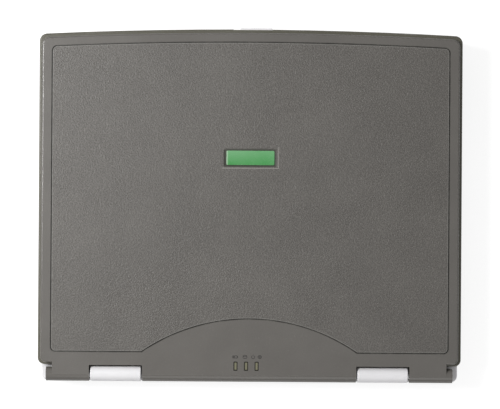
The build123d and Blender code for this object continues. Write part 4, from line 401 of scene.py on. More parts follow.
def lid_shading(tree, base):
    """A lighter rim, painted shade in the groove and round the badge, a painted highlight inside the
    groove, and an olive skirt below the crown that is also painted shade.
    """
    at = axes(tree)
    depth = depth_in_panel(tree)
    smooth = spread(tree, depth, -0.6 * MM, -0.3 * MM, 0.5, 0.0)
    lighter = blend(tree, smooth, base, paint(108, 105, 101))
    # Below the crown the skirt gets an olive tint that is also painted shade, darkest just under the
    # ledge.
    blur_low, blur_high = (ledge_level + rise for rise in skirt_blur)
    under_crown = spread(tree, at["Z"], blur_low, blur_high, 0.75, 0.0)
    over_bezel = above(tree, lid_low.z - 0.1 * MM)
    olive = blend(tree, product(tree, under_crown, over_bezel), lighter, paint(92, 90, 76))
    # Painted highlight: a pale band just inside the groove's inner edge.
    past_groove = spread(tree, depth, groove_width, groove_width + 0.2 * MM)
    near_groove = spread(tree, depth, groove_width + 0.3 * MM, groove_width + 0.8 * MM, 0.35, 0.0)
    groove_lit = blend(tree, product(tree, past_groove, near_groove), olive, paint(160, 158, 154))
    # Painted shade: the groove is darkened almost to black, where shade falls into it.
    into = spread(tree, depth, -0.35 * MM, -0.02 * MM, 0.0, 0.82)
    out_of = spread(tree, depth, groove_width, groove_width + 0.3 * MM, 1.0, 0.0)
    groove_shade_share = product(tree, into, out_of, above(tree, recess_floor))
    groove_shaded = blend(tree, groove_shade_share, groove_lit, paint(34, 33, 30))
    return badge_surround(tree, groove_shaded, at)


def badge_surround(tree, base, at):
    """Painted shade in the badge's recess, and a painted highlight as a pale lip along two sides of it.
    """
    half_length, half_height = (side / 2 for side in badge_recess)
    from_middle = calc(tree, "ABSOLUTE", at["X"])
    behind_badge = calc(tree, "SUBTRACT", at["Y"], badge_y)
    from_badge = calc(tree, "ABSOLUTE", behind_badge)
    across = calc(tree, "LESS_THAN", from_middle, half_length)
    along = calc(tree, "LESS_THAN", from_badge, half_height)
    # Painted shade: the recess is darkened towards its floor.
    sunk = spread(tree, at["Z"], lid_top - 0.7 * MM, just_under_top, 0.6, 0.0)
    recess_shade_share = product(tree, across, along, sunk, above(tree, recess_floor))
    shaded = blend(tree, recess_shade_share, base, paint(48, 54, 44))
    # Painted highlight: a pale lip on the lid just past the recess on its -X and rear sides.
    out_left = calc(tree, "SUBTRACT", product(tree, at["X"], -1.0), half_length)
    out_behind = calc(tree, "SUBTRACT", behind_badge, half_height)
    near_x = calc(tree, "LESS_THAN", from_middle, half_length + recess_lip)
    near_y = calc(tree, "LESS_THAN", from_badge, half_height + recess_lip)
    lip_highlight_share = spread(tree, calc(tree, "MAXIMUM", out_left, out_behind), 0.0, 0.2 * MM, 0.0, 0.42)
    rubbed = product(tree, lip_highlight_share, near_x, near_y, above(tree, just_under_top))
    return blend(tree, rubbed, shaded, paint(166, 162, 157))


def badge_paint():
    """Satin green lacquer on a bare badge, with a slow shift of hue and fine dust, painted light that
    makes it lighter towards its front, and a painted highlight along its +X edge.
    """
    material, tree, shader = new_finish("badge_green")
    tone = use_group(tree, "uneven_tone", Size=18 * MM)
    worn = use_group(tree, "edge_wear", Width=0.35 * MM, Amount=0.9)
    fallen = use_group(tree, "settled_dust", Amount=0.08)
    low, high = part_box("lid_badge")
    at = axes(tree)
    # Painted light: the green is lighter towards the badge's front edge, with a little random tone on
    # top.
    along = spread(tree, at["Y"], low.y, high.y, 0.85, 0.1)
    share = calc(tree, "ADD", along, product(tree, tone["Tone"], 0.12), True)
    green = blend(tree, share, paint(70, 150, 80), paint(116, 176, 124))
    # Painted highlight along the badge's +X edge, joined with its real edge wear.
    painted_edge_highlight = spread(tree, at["X"], high.x - 1.4 * MM, high.x - 0.6 * MM, 0.0, 0.55)
    wear_and_edge_highlight = calc(tree, "MAXIMUM", worn["Mask"], painted_edge_highlight)
    lit = blend(tree, wear_and_edge_highlight, green, paint(196, 218, 194))
    dusty = blend(tree, fallen["Mask"], lit, paint(200, 205, 196))
    feed(shader, Base_Color=dusty)
    feed(shader, Roughness=between(tree, tone["Shine"], 0.3, 0.22))
    feed(shader, Coat_Weight=0.3, Coat_Roughness=0.12)
    grain = use_group(tree, "moulded_grain", Size=0.6 * MM)
    feed(shader, Normal=bump(tree, grain["Height"], 0.006 * MM, 0.5))
    return material


window_middle_x = 2.4 * MM
window_pitch = 8.2 * MM
window_y = rear_edge - 12.6 * MM


def window_rim(tree, at):
    """1 near the border of each lamp window, 0 in its middle."""
    from_middle = calc(tree, "SUBTRACT", at["X"], window_middle_x)
    wrapped = calc(tree, "PINGPONG", calc(tree, "ADD", from_middle, window_pitch), window_pitch / 2)
    to_centre = calc(tree, "MINIMUM", wrapped, 1.0)
    across = spread(tree, to_centre, 0.6 * MM, 1.0 * MM)
    ends = spread(tree, spacing(tree, at["Y"], window_y), 2.5 * MM, 2.9 * MM)
    return calc(tree, "MAXIMUM", across, ends)


def lamp_lens():
    """Clear olive plastic of the lamp windows, with fine vertical prisms inside, and a dark border
    round each window that is painted shade.
    """
    material, tree, shader = new_finish("lens_plastic")
    at = axes(tree)
    ribs = calc(tree, "SINE", calc(tree, "MULTIPLY", at["X"], 2 * pi / (0.8 * MM)))
    share = spread(tree, ribs, -1.0, 1.0)
    tinted = blend(tree, share, paint(112, 110, 88), paint(142, 140, 116))
    grain = use_group(tree, "moulded_grain", Size=1.2 * MM)
    speck = spread(tree, grain["Shade"], -1.0, 1.0, 0.0, 0.25)
    clear = blend(tree, speck, tinted, paint(92, 90, 72))
    # Painted shade: a dark border round each lamp window.
    painted_border_shade = window_rim(tree, at)
    feed(shader, Base_Color=blend(tree, painted_border_shade, clear, paint(40, 38, 31)))
    feed(shader, Roughness=spread(tree, ribs, -1.0, 1.0, 0.18, 0.26), Coat_Weight=0.4)
    feed(shader, Normal=bump(tree, ribs, 0.03 * MM, 0.4))
    return material


def display_glass():
    """Matt screen with its lamps off: a dark picture area inside a black border."""
    material, tree, shader = new_finish("display_glass")
    low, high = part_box("lcd_glass")
    border = 3.2 * MM
    at = axes(tree)
    in_width = calc(tree, "LESS_THAN", calc(tree, "ABSOLUTE", at["X"]), high.x - border)
    half_depth = (high.y - low.y) / 2 - border
    from_middle = spacing(tree, at["Y"], (low.y + high.y) / 2)
    in_depth = calc(tree, "LESS_THAN", from_middle, half_depth)
    picture = product(tree, in_width, in_depth)
    tone = use_group(tree, "uneven_tone", Size=70 * MM)
    share = spread(tree, tone["Tone"], -1.0, 1.0, 0.3, 0.7)
    dark = blend(tree, share, paint(28, 31, 36), paint(36, 39, 45))
    shown = blend(tree, picture, paint(12, 12, 13), dark)
    fallen = use_group(tree, "moulded_grain", Size=2.5 * MM)
    specks = spread(tree, fallen["Shade"], 0.85, 1.0, 0.0, 0.05)
    feed(shader, Base_Color=blend(tree, specks, shown, paint(90, 92, 96)))
    feed(shader, Roughness=between(tree, tone["Shine"], 0.34, 0.24))
    feed(shader, Specular_IOR_Level=0.6)
    matt = use_group(tree, "moulded_grain", Size=0.12 * MM)
    feed(shader, Normal=bump(tree, matt["Height"], 0.004 * MM, 0.5))
    return material


def lamp_glass():
    """White glass tube of the screen's lamp, darker at its ends."""
    material, tree, shader = new_finish("lamp_glass")
    low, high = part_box("lamp_tube")
    at = axes(tree)
    from_end = calc(tree, "SUBTRACT", high.x, calc(tree, "ABSOLUTE", at["X"]))
    burnt = spread(tree, from_end, 1.0 * MM, 9.0 * MM, 1.0, 0.0)
    glass = blend(tree, burnt, paint(236, 236, 230), paint(96, 92, 84))
    feed(shader, Base_Color=glass, Roughness=between(tree, burnt, 0.12, 0.3))
    return material


def circuit_board(name, under, top):
    """Green solder mask over copper tracks with pads, and dark chips above and below the board."""
    material, tree, shader = new_finish(name)
    place = object_place(tree)
    tracks = put(
        tree, "TexBrick", Vector=place, Scale=1.0, Mortar_Size=0.25 * MM, Mortar_Smooth=0.2,
        Brick_Width=9.0 * MM, Row_Height=1.3 * MM,
    )
    pads = put(tree, "TexVoronoi", Vector=place, Scale=190.0, feature="F1")
    tone = use_group(tree, "uneven_tone", Size=30 * MM)
    share = spread(tree, tone["Tone"], -1.0, 1.0)
    mask_colour = blend(tree, share, paint(28, 92, 58), paint(38, 110, 66))
    raised = product(tree, tracks.outputs["Fac"], 0.5)
    tracked = blend(tree, raised, mask_colour, paint(70, 140, 84))
    round_pads = calc(tree, "LESS_THAN", pads.outputs["Distance"], 0.14)
    padded = blend(tree, round_pads, tracked, paint(196, 190, 160))
    at = axes(tree)
    over = calc(tree, "GREATER_THAN", at["Z"], top + 0.03 * MM)
    below = calc(tree, "LESS_THAN", at["Z"], under - 0.03 * MM)
    grain = use_group(tree, "moulded_grain", Size=0.4 * MM)
    speck = spread(tree, grain["Shade"], -1.0, 1.0)
    chip = blend(tree, speck, paint(34, 34, 36), paint(50, 50, 52))
    shown = blend(tree, calc(tree, "MAXIMUM", over, below), padded, chip)
    feed(shader, Base_Color=shown, Roughness=between(tree, tone["Shine"], 0.42, 0.3))
    feed(shader, Normal=bump(tree, tracks.outputs["Fac"], 0.03 * MM, 0.6))
    return material


field_half_width = 9.3 * MM
field_half_height = 4.4 * MM
nut_offset = 12.5 * MM
nut_reach = 2.7 * MM


def display_port_paint():
    """Black body of the display port, with a blue socket field and plated nuts."""
    low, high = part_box("vga_port")
    middle_x, middle_height = (low.x + high.x) / 2, (low.z + high.z) / 2
    material, tree, shader = new_finish("display_port")
    at = axes(tree)
    aside = spacing(tree, at["X"], middle_x)
    beside = spacing(tree, at["Z"], middle_height)
    raised = calc(tree, "GREATER_THAN", at["Y"], high.y - 0.3 * MM)
    in_width = calc(tree, "LESS_THAN", aside, field_half_width)
    in_height = calc(tree, "LESS_THAN", beside, field_half_height)
    field = product(tree, in_width, in_height, raised)
    near_nut = calc(tree, "LESS_THAN", spacing(tree, aside, nut_offset), nut_reach)
    nut = product(tree, near_nut, raised)
    tone = use_group(tree, "uneven_tone", Size=12 * MM)
    grain = use_group(tree, "moulded_grain", Size=0.4 * MM)
    share = spread(tree, grain["Shade"], -1.0, 1.0)
    body = blend(tree, share, paint(40, 40, 42), paint(50, 50, 52))
    blue = blend(tree, share, paint(44, 78, 138), paint(54, 90, 150))
    plated = blend(tree, share, paint(170, 170, 168), paint(188, 188, 186))
    shown = blend(tree, nut, blend(tree, field, body, blue), plated)
    feed(shader, Base_Color=shown, Metallic=nut)
    feed(shader, Roughness=between(tree, tone["Shine"], 0.48, 0.34))
    feed(shader, Normal=bump(tree, grain["Height"], 0.02 * MM))
    return material


def printed_ink(name, colour):
    """Screen-printed ink: slightly uneven, with pinholes."""
    material, tree, shader = new_finish(name)
    grain = use_group(tree, "moulded_grain", Size=0.25 * MM)
    share = spread(tree, grain["Shade"], -1.0, 1.0, 0.0, 0.3)
    worn = tuple(part * 0.8 for part in colour[:3]) + (1.0,)
    feed(shader, Base_Color=blend(tree, share, colour, worn))
    feed(shader, Roughness=spread(tree, grain["Shade"], -1.0, 1.0, 0.5, 0.62))
    return material


lid_colour = paint(97, 94, 90)
silver_colour = paint(240, 239, 241)
board_levels = {
    "main_board": (9.0 * MM, 10.6 * MM),
    "memory_module": (6.8 * MM, 7.8 * MM),
    "inverter_board": (32.4 * MM, 33.6 * MM),
}
finishes = {
    # The lid's stronger, paler edge wear is partly painted highlight. lid_shading paints shade and
    # highlights into its colour.
    "lid_plastic": moulded(
        "lid_plastic", lid_colour, 0.36, 1.15 * MM, 0.24 * MM, 0.36, 0.03,
        wear=0.5, wear_and_highlight_colour=paint(186, 183, 174), dust=0.08,
        grain_where=inside_groove, painted_over=lid_shading, polished_where=crown_edge,
    ),
    "silver_plastic": moulded(
        "silver_plastic", silver_colour, 0.36, 0.35 * MM, 0.012 * MM, 0.03, 0.02, wear=0.25, dust=0.12
    ),
    "case_plastic": moulded("case_plastic", paint(92, 91, 90), 0.55, 0.55 * MM, 0.04 * MM, 0.06, 0.04),
    "black_plastic": moulded("black_plastic", paint(44, 44, 46), 0.5, 0.45 * MM, 0.03 * MM, 0.06, 0.05),
    "key_plastic": moulded(
        "key_plastic", paint(44, 44, 46), 0.46, 0.3 * MM, 0.02 * MM, 0.06, 0.04, dust=0.08
    ),
    "badge_green": badge_paint(),
    "lens_plastic": lamp_lens(),
    "panel_metal": sheet_metal("panel_metal", paint(168, 168, 166), 0.42, (60.0, 2600.0, 2600.0)),
    "display_glass": display_glass(),
    "lamp_glass": lamp_glass(),
    "steel": sheet_metal("steel", paint(186, 186, 188), 0.3, (80.0, 3000.0, 3000.0)),
    "aluminium": sheet_metal("aluminium", paint(202, 203, 206), 0.4, (3000.0, 90.0, 3000.0), 0.07),
    "rubber": moulded(
        "rubber", paint(40, 40, 41), 0.78, 0.7 * MM, 0.05 * MM, 0.12, 0.08, wear=0.2, dust=0.3
    ),
    "copper": sheet_metal("copper", paint(206, 140, 104), 0.34, (2600.0, 80.0, 2600.0), 0.1, 0.25),
}
white_ink = printed_ink("legend_white", paint(214, 214, 210))
dark_ink = printed_ink("mark_dark", paint(46, 44, 42))

own_finishes = {"vga_port": display_port_paint()}
for node, (under, top) in board_levels.items():
    own_finishes[node] = circuit_board("board_green_" + node, under, top)

for subpart in frame["record"]["subparts"]:
    node = subpart["node"]
    finish = own_finishes.get(node) or finishes[subpart["material_slot"]]
    frame["nodes"][node].data.materials.clear()
    frame["nodes"][node].data.materials.append(finish)


# Modelling helpers
def deselect():
    """Leave edit mode and clear the selection."""
    if bpy.context.object is not None and bpy.context.object.mode == "EDIT":
        bpy.ops.object.mode_set(mode="OBJECT")
    bpy.ops.object.select_all(action="DESELECT")


def activate(piece):
    """Make one piece the only selected and the active one."""
    deselect()
    piece.select_set(True)
    bpy.context.view_layer.objects.active = piece


def edit_all():
    """Edit the active piece with all of it selected."""
    bpy.ops.object.mode_set(mode="EDIT")
    bpy.ops.mesh.select_all(action="SELECT")


def pick(piece, kind, wanted):
    """In edit mode, select the faces or the edges that pass a test."""
    bpy.ops.mesh.select_mode(type=kind)
    shape = bmesh.from_edit_mesh(piece.data)
    for part in shape.faces if kind == "FACE" else shape.edges:
        part.select_set(wanted(part))
    bmesh.update_edit_mesh(piece.data)


def settle(piece):
    """Move a piece's place, turn and size into its mesh."""
    activate(piece)
    bpy.ops.object.transform_apply(location=True, rotation=True, scale=True)


def new_box(size, place, turn=(0, 0, 0)):
    """Box of a size about a place, settled."""
    deselect()
    bpy.ops.mesh.primitive_cube_add(size=1, location=place, rotation=turn)
    box = bpy.context.object
    box.scale = size
    settle(box)
    return box


def cut_edges(offset, segments=1, affect="EDGES"):
    """In edit mode, cut or round the selected edges or corners."""
    bpy.ops.mesh.bevel(offset=offset, segments=segments, affect=affect)


def twin_of(piece, name):
    """A copy of a piece with its own mesh."""
    twin = piece.copy()
    twin.data = piece.data.copy()
    twin.name = name
    bpy.context.scene.collection.objects.link(twin)
    return twin


def copy_to(piece, name, offset):
    """A copy of a settled piece, moved by an offset."""
    twin = twin_of(piece, name)
    twin.location = offset
    settle(twin)
    return twin


def join(pieces, name):
    """One piece made of several."""
    deselect()
    for piece in pieces:
        piece.select_set(True)
    bpy.context.view_layer.objects.active = pieces[0]
    if len(pieces) > 1:
        bpy.ops.object.join()
    pieces[0].name = name
    return pieces[0]


def finish_piece(piece, material, body):
    """Give a piece its material, and let it move with a body."""
    piece.data.materials.clear()
    piece.data.materials.append(material)
    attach(piece, body)
    return piece


# Key tops
key_pitch = 19.05 * MM
function_pitch = 15.0 * MM
row_units = 15.5
main_rows = 5
key_gap = 1.3 * MM
key_side_draft = 1.27 * MM
key_corner = 1.3 * MM
key_edge = 0.45 * MM
key_smooth_angle = radians(40)
dish_margins = (0.9 * MM, 1.3 * MM)
dish_depth = 0.08 * MM
stem_side = 4.0 * MM
stem_reach = 3.15 * MM
stem_share = 0.36
stem_edge = 0.35 * MM
long_key = 3 * key_pitch
function_width = row_units / 16
key_height = 3.5 * MM
key_under = key_top - key_height
ink_lift = 0.02 * MM
field_left = -row_units * key_pitch / 2
field_front = -22.5 * MM


def model_key(width, depth, name):
    """One key top over the origin: tapered sides, soft edges, dished top and stems."""
    key = new_box((width, depth, key_height), (0, 0, key_under + key_height / 2))
    bpy.ops.object.mode_set(mode="EDIT")
    pick(key, "FACE", lambda face: face.normal.z > 0.9)
    bpy.ops.transform.resize(value=(1 - 2 * key_side_draft / width, 1 - 2 * key_side_draft / depth, 1))
    pick(key, "EDGE", lambda edge: abs(edge.verts[0].co.z - edge.verts[1].co.z) > key_height / 2)
    cut_edges(key_corner, 3)
    pick(key, "EDGE", lambda edge: min(end.co.z for end in edge.verts) > key_top - 0.01 * MM)
    cut_edges(key_edge, 2)
    rim_width, rim_depth = (side - 2 * (key_side_draft + key_edge) for side in (width, depth))
    for margin in dish_margins:
        pick(key, "FACE", lambda face: face.normal.z > 0.9999)
        bpy.ops.mesh.inset(thickness=0.01 * MM)
        bpy.ops.transform.resize(value=(1 - 2 * margin / rim_width, 1 - 2 * margin / rim_depth, 1))
        bpy.ops.transform.translate(value=(0, 0, -dish_depth))
        rim_width, rim_depth = rim_width - 2 * margin, rim_depth - 2 * margin
    stems = [key]
    stem_low, stem_high = key_under - stem_reach, key_under + key_edge
    for side in (-1, 1) if width > long_key else (0,):
        centre = (side * width * stem_share, 0, (stem_low + stem_high) / 2)
        stems.append(new_box((stem_side, stem_side, stem_high - stem_low), centre))
        edit_all()
        cut_edges(stem_edge)
    join(stems, name)
    activate(key)
    bpy.ops.object.shade_smooth_by_angle(angle=key_smooth_angle)
    return key


def write_legend(words, height, place, name):
    """Words as a flat mesh at a place on the deck, centred on it."""
    deselect()
    bpy.ops.object.text_add(location=(0, 0, 0))
    legend = bpy.context.object
    legend.data.body = words
    legend.data.size = height
    legend.data.align_x = "CENTER"
    legend.data.align_y = "CENTER"
    legend.data.resolution_u = 3
    legend.data.space_line = 1.1
    bpy.ops.object.convert(target="MESH")
    legend.location = place
    legend.name = name
    settle(legend)
    return legend


def plain(*legends):
    """Keys one unit wide."""
    return [(1, words) for words in legends]


function_legends = ("esc", *(f"F{number}" for number in range(1, 13)), "prt sc", "ins", "del")
# Each row from the front: its body, the node it stands for, and the width and legend of every key
keyboard_rows = [
    ("bottom_row", "bottom_keys", [
        (1.25, "ctrl"), *plain("fn", "alt", "home"), (5.25, None),
        *plain("alt", "menu", "ctrl", "<", "v", ">"),
    ]),
    ("shift_row", "shift_row_keys", [
        (2.25, "shift"), *plain(*"ZXCVBNM", "<\n,", ">\n.", "?\n/"), (1.25, "shift"),
        *plain("^", "end"),
    ]),
    ("home_row", "home_row_keys", [
        (1.75, "caps lock"), *plain(*"ASDFGHJKL", ":\n;", '"\n\''), (1.75, "enter"), (1, "pg dn"),
    ]),
    ("upper_row", "upper_row_keys", [
        (1.5, "tab"), *plain(*"QWERTYUIOP", "{\n[", "}\n]", "|\n\\", "pg up"),
    ]),
    ("number_row", "number_keys", [
        *plain("~\n`", "!\n1", "@\n2", "#\n3", "$\n4", "%\n5", "^\n6", "&\n7", "*\n8", "(\n9"),
        *plain(")\n0", "_\n-", "+\n="), (1.5, "backspace"), (1, "pause"),
    ]),
    ("function_row", "function_keys", [(function_width, words) for words in function_legends]),
]
legend_level = key_top - 2 * dish_depth + ink_lift
letter_height = 4.8 * MM
pair_height = 3.2 * MM
word_height = 2.9 * MM
legend_inset = 6.1 * MM
legend_rise = 1.5 * MM


def legend_size(words):
    """Height of the letters of a legend, by how long it is."""
    if len(words) == 1:
        return letter_height
    return pair_height if "\n" in words else word_height


def build_key_row(row, body, node, keys):
    """All key tops of a row as one piece, and its legends as another."""
    row_pitch = key_pitch if row < main_rows else function_pitch
    row_middle = field_front + row * key_pitch + row_pitch / 2
    models = {}
    tops = []
    legends = []
    edge = field_left
    for index, (units, words) in enumerate(keys):
        width = units * key_pitch - key_gap
        middle = edge + units * key_pitch / 2
        edge += units * key_pitch
        if units not in models:
            models[units] = model_key(width, row_pitch - key_gap, "key_model")
        if words is None:
            bar = copy_to(models[units], "space_bar_top", (middle, row_middle, 0))
            finish_piece(bar, finishes["key_plastic"], "space")
            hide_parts("space_bar")
            continue
        tops.append(copy_to(models[units], f"{body}_key_{index}", (middle, row_middle, 0)))
        place = (middle, row_middle, legend_level)
        if row < main_rows and (len(words) == 1 or "\n" in words):
            place = (middle + legend_inset - width / 2, row_middle + legend_rise, legend_level)
        legends.append(write_legend(words, legend_size(words), place, f"{body}_legend_{index}"))
    for model in models.values():
        bpy.data.objects.remove(model)
    caps = finish_piece(join(tops, body + "_tops"), finishes["key_plastic"], body)
    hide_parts(node)
    finish_piece(join(legends, body + "_legends"), white_ink, body)


for row, (body, node, keys) in enumerate(keyboard_rows):
    build_key_row(row, body, node, keys)


# Flat marks: simple strokes drawn about the origin, then turned onto a face
stroke = 0.42 * MM
stroke_step = 0.004 * MM
bar_rounding = 0.45
facing = {
    "up": (0, 0, 0),
    "up_turned": (0, 0, pi),
    "down": (pi, 0, 0),
    "rear": (pi / 2, 0, pi),
    "front": (pi / 2, 0, 0),
    "left": (pi / 2, 0, -pi / 2),
}


def on_sheet(middle):
    """A place on the drawing plane, from millimetres."""
    return (middle[0] * MM, middle[1] * MM, 0)


def new_sheet(width, height, middle, turn=0.0):
    """Rectangle on the drawing plane, in millimetres, left in edit mode."""
    deselect()
    bpy.ops.mesh.primitive_plane_add(size=1, location=on_sheet(middle), rotation=(0, 0, turn))
    sheet = bpy.context.object
    sheet.scale = (width * MM, height * MM, 1)
    settle(sheet)
    edit_all()
    return sheet


def ring_stroke(radius, middle=(0, 0), flat=1.0, gap_from=0.0):
    """Ring of one stroke's width, open past a share of its radius upwards, or downwards below 0."""
    deselect()
    bpy.ops.mesh.primitive_circle_add(
        vertices=24, radius=radius * MM, fill_type="NGON", location=on_sheet(middle)
    )
    ring = bpy.context.object
    ring.scale = (1, flat, 1)
    settle(ring)
    edit_all()
    bpy.ops.mesh.inset(thickness=stroke)
    bpy.ops.mesh.delete(type="FACE")
    if gap_from:
        edge = gap_from * radius
        pick(ring, "FACE", lambda face: (face.calc_center_median().y / MM - middle[1]) / edge > 1)
        bpy.ops.mesh.delete(type="FACE")
    deselect()
    return ring


def box_stroke(width, height, middle=(0, 0)):
    """Rectangle drawn with one stroke's width, with cut corners."""
    outline = new_sheet(width, height, middle)
    cut_edges(stroke / 2, affect="VERTICES")
    bpy.ops.mesh.inset(thickness=stroke)
    bpy.ops.mesh.delete(type="FACE")
    deselect()
    return outline


def bar_stroke(length, middle=(0, 0), turn=0.0, width=stroke / MM):
    """Straight stroke with rounded ends."""
    bar = new_sheet(length, width, middle, turn)
    cut_edges(width * MM * bar_rounding, 2, affect="VERTICES")
    deselect()
    return bar


# Strokes of each mark in millimetres: the kind and size, then where it is if not in the middle, then a
# ring's flatness and gap, or a bar's turn and width
upright = pi / 2
mark_strokes = {
    "battery": [
        (box_stroke, 3.8, 2.2),
        (bar_stroke, 1.2, (2.15, 0), upright, 0.5),
        (bar_stroke, 1.6, (-0.7, 0), 0, 0.9),
    ],
    "drum": [
        (ring_stroke, 1.7, (0, 0.75), 0.45),
        (bar_stroke, 1.7, (-1.5, -0.1), upright),
        (bar_stroke, 1.7, (1.5, -0.1), upright),
        (bar_stroke, 2.6, (0, -1.15)),
    ],
    "small_power": [(ring_stroke, 1.5, (0, 0), 1, 0.55), (bar_stroke, 1.5, (0, 1.125), upright)],
    "power": [(ring_stroke, 2.2, (0, 0), 1, 0.55), (bar_stroke, 2.2, (0, 1.65), upright)],
    "sleep": [(ring_stroke, 1.6, (0, 0), 0.9), (ring_stroke, 0.75)],
    "screen": [
        (box_stroke, 4.4, 3.0, (0, 0.5)),
        (bar_stroke, 2.2, (0, -1.7)),
        (bar_stroke, 0.9, (0, -1.3), upright),
    ],
    "plug": [
        (ring_stroke, 1.7),
        (ring_stroke, 0.65),
        (bar_stroke, 1.3, (-2.4, 0)),
        (bar_stroke, 1.3, (2.4, 0)),
    ],
    "serial": [
        (bar_stroke, 4.6),
        (bar_stroke, 1.6, (0.3, 0.55), pi / 4),
        (bar_stroke, 1.6, (-0.3, -0.55), pi / 4),
        (ring_stroke, 0.6, (-2.4, 0)),
        (box_stroke, 0.9, 0.9, (1.2, 1.2)),
    ],
    "network": [
        (box_stroke, 1.7, 1.3, (0, 1.2)),
        (box_stroke, 1.7, 1.3, (-1.7, -1.3)),
        (box_stroke, 1.7, 1.3, (1.7, -1.3)),
        (bar_stroke, 1.2, (0, 0), upright),
        (bar_stroke, 3.4, (0, -0.3)),
    ],
    "handset": [(bar_stroke, 4.2, (0, 1.3), 0, 0.9), (box_stroke, 3.0, 2.0, (0, -0.6))],
    "headphone": [
        (ring_stroke, 1.7, (0, 0), 1, -0.3),
        (bar_stroke, 1.5, (-1.6, -0.6), upright, 0.9),
        (bar_stroke, 1.5, (1.6, -0.6), upright, 0.9),
    ],
    "microphone": [
        (bar_stroke, 2.2, (0, 0.7), upright, 1.2),
        (bar_stroke, 1.2, (0, -1.0), upright),
        (bar_stroke, 2.0, (0, -1.7)),
    ],
    "envelope": [
        (box_stroke, 4.4, 3.0),
        (bar_stroke, 2.5, (-1.0, 0.55), -pi / 5),
        (bar_stroke, 2.5, (1.0, 0.55), pi / 5),
    ],
    "globe": [(ring_stroke, 1.9), (ring_stroke, 1.9, (0, 0), 0.42), (bar_stroke, 3.4, (0, 0), upright)],
    "padlock": [(box_stroke, 3.0, 2.3, (0, -0.7)), (ring_stroke, 1.1, (0, 0.9), 1, -0.4)],
    "card": [
        (box_stroke, 4.0, 2.6),
        (bar_stroke, 2.4, (0, 0.1), upright),
        (bar_stroke, 1.6, (3.0, 0)),
    ],
}


def put_mark(name, kind, face, place, ink, body, size=1.0):
    """Join the strokes of a mark, turn it onto a face and print it. No two strokes share a plane."""
    strokes = [draw(*given) for draw, *given in mark_strokes[kind]]
    for index, piece in enumerate(strokes):
        piece.location.z = index * stroke_step
    mark = join(strokes, name)
    mark.scale = (size, size, size)
    mark.rotation_euler = facing[face]
    mark.location = place
    settle(mark)
    return finish_piece(mark, ink, body)


lid_mark_y = 118.2 * MM
lid_mark_level = lid_top + ink_lift
for label, kind, x in (
    ("battery", "battery", 11.1),
    ("disk", "drum", 3.3),
    ("power", "small_power", -3.0),
    ("sleep", "sleep", -8.2),
):
    place = (x * MM, lid_mark_y, lid_mark_level)
    put_mark("lid_mark_" + label, kind, "up_turned", place, dark_ink, "lid")

strip_y = 107.25 * MM
button_level = 26.3 * MM + ink_lift
for name, kind, x, body in (
    ("power_button_mark", "power", 0, "power"),
    ("quick_left_mark", "envelope", -26, "quick_left"),
    ("quick_right_mark", "globe", 26, "quick_right"),
):
    put_mark(name, kind, "up", (x * MM, strip_y, button_level), dark_ink, body)

rear_face = rear_edge + ink_lift
rear_mark_z = 6.6 * MM
for label, kind, x in (
    ("power", "plug", 138.3),
    ("screen", "screen", 91.5),
    ("serial_one", "serial", 64.1),
    ("serial_two", "serial", 46.7),
    ("phone", "handset", 24.5),
    ("network", "network", 9.6),
):
    put_mark("rear_mark_" + label, kind, "rear", (x * MM, rear_face, rear_mark_z), white_ink, "base")

front_face = -136.03 * MM
jack_level = 10.4 * MM
for kind, x in (("microphone", -17.0), ("headphone", 11.0)):
    put_mark("front_mark_" + kind, kind, "front", (x * MM, front_face, jack_level), white_ink, "base")

card_mark_place = (-163 * MM - ink_lift, -14 * MM, 5.9 * MM)
lock_mark_place = (8 * MM, -80.2 * MM, 1.5 * MM - ink_lift)
put_mark("card_mark", "card", "left", card_mark_place, white_ink, "base")
put_mark("lock_mark", "padlock", "down", lock_mark_place, white_ink, "base", 1.3)


# Spring contacts in the two network mouths
mouth_face = 137.6 * MM
wire_width = 0.45 * MM
wire_edge = 0.1 * MM
wire_length = 6.0 * MM
wire_middle = 5.2 * MM
wire_slope = radians(24)
wire_level = 17.6 * MM
wire_pitch = 1.02 * MM
network_x = 9.55 * MM
phone_x = 24.5 * MM
gilt = sheet_metal("gilt_wire", paint(214, 178, 104), 0.28, (900.0, 900.0, 900.0), 0.06, 0.05)


def spring_contacts(name, count, middle_x):
    """Row of thin gilt wires that slope down into a mouth."""
    place = (0, mouth_face - wire_middle, wire_level)
    wire = new_box((wire_width, wire_length, wire_width), place, (wire_slope, 0, 0))
    edit_all()
    cut_edges(wire_edge)
    deselect()
    first_x = middle_x - (count - 1) / 2 * wire_pitch
    wires = [copy_to(wire, name, (first_x + index * wire_pitch, 0, 0)) for index in range(count)]
    bpy.data.objects.remove(wire)
    finish_piece(join(wires, name), gilt, "base")


spring_contacts("network_contacts", 8, network_x)
spring_contacts("phone_contacts", 4, phone_x)


# Screws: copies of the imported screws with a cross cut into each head
slot_share = 0.24
slot_taper = 0.5
screw_smooth_angle = radians(28)


def cross_cutter(place, width, depth):
    """Two crossed wedges that narrow upwards, for one screw head that faces down."""
    wedges = []
    for turn in (0, pi / 2):
        wedge = new_box((width, width * slot_share, 2 * depth), place, (0, 0, turn))
        bpy.ops.object.mode_set(mode="EDIT")
        pick(wedge, "FACE", lambda face: face.normal.z > 0.9)
        bpy.ops.transform.resize(value=(slot_taper, slot_taper, 1))
        deselect()
        wedges.append(wedge)
    return wedges


def merged_copy(node, name):
    """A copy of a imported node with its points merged."""
    twin = twin_of(frame["nodes"][node], name)
    twin.parent = None
    activate(twin)
    edit_all()
    bpy.ops.mesh.remove_doubles(threshold=0.001 * MM)
    deselect()
    bpy.ops.mesh.customdata_custom_splitnormals_clear()
    return twin


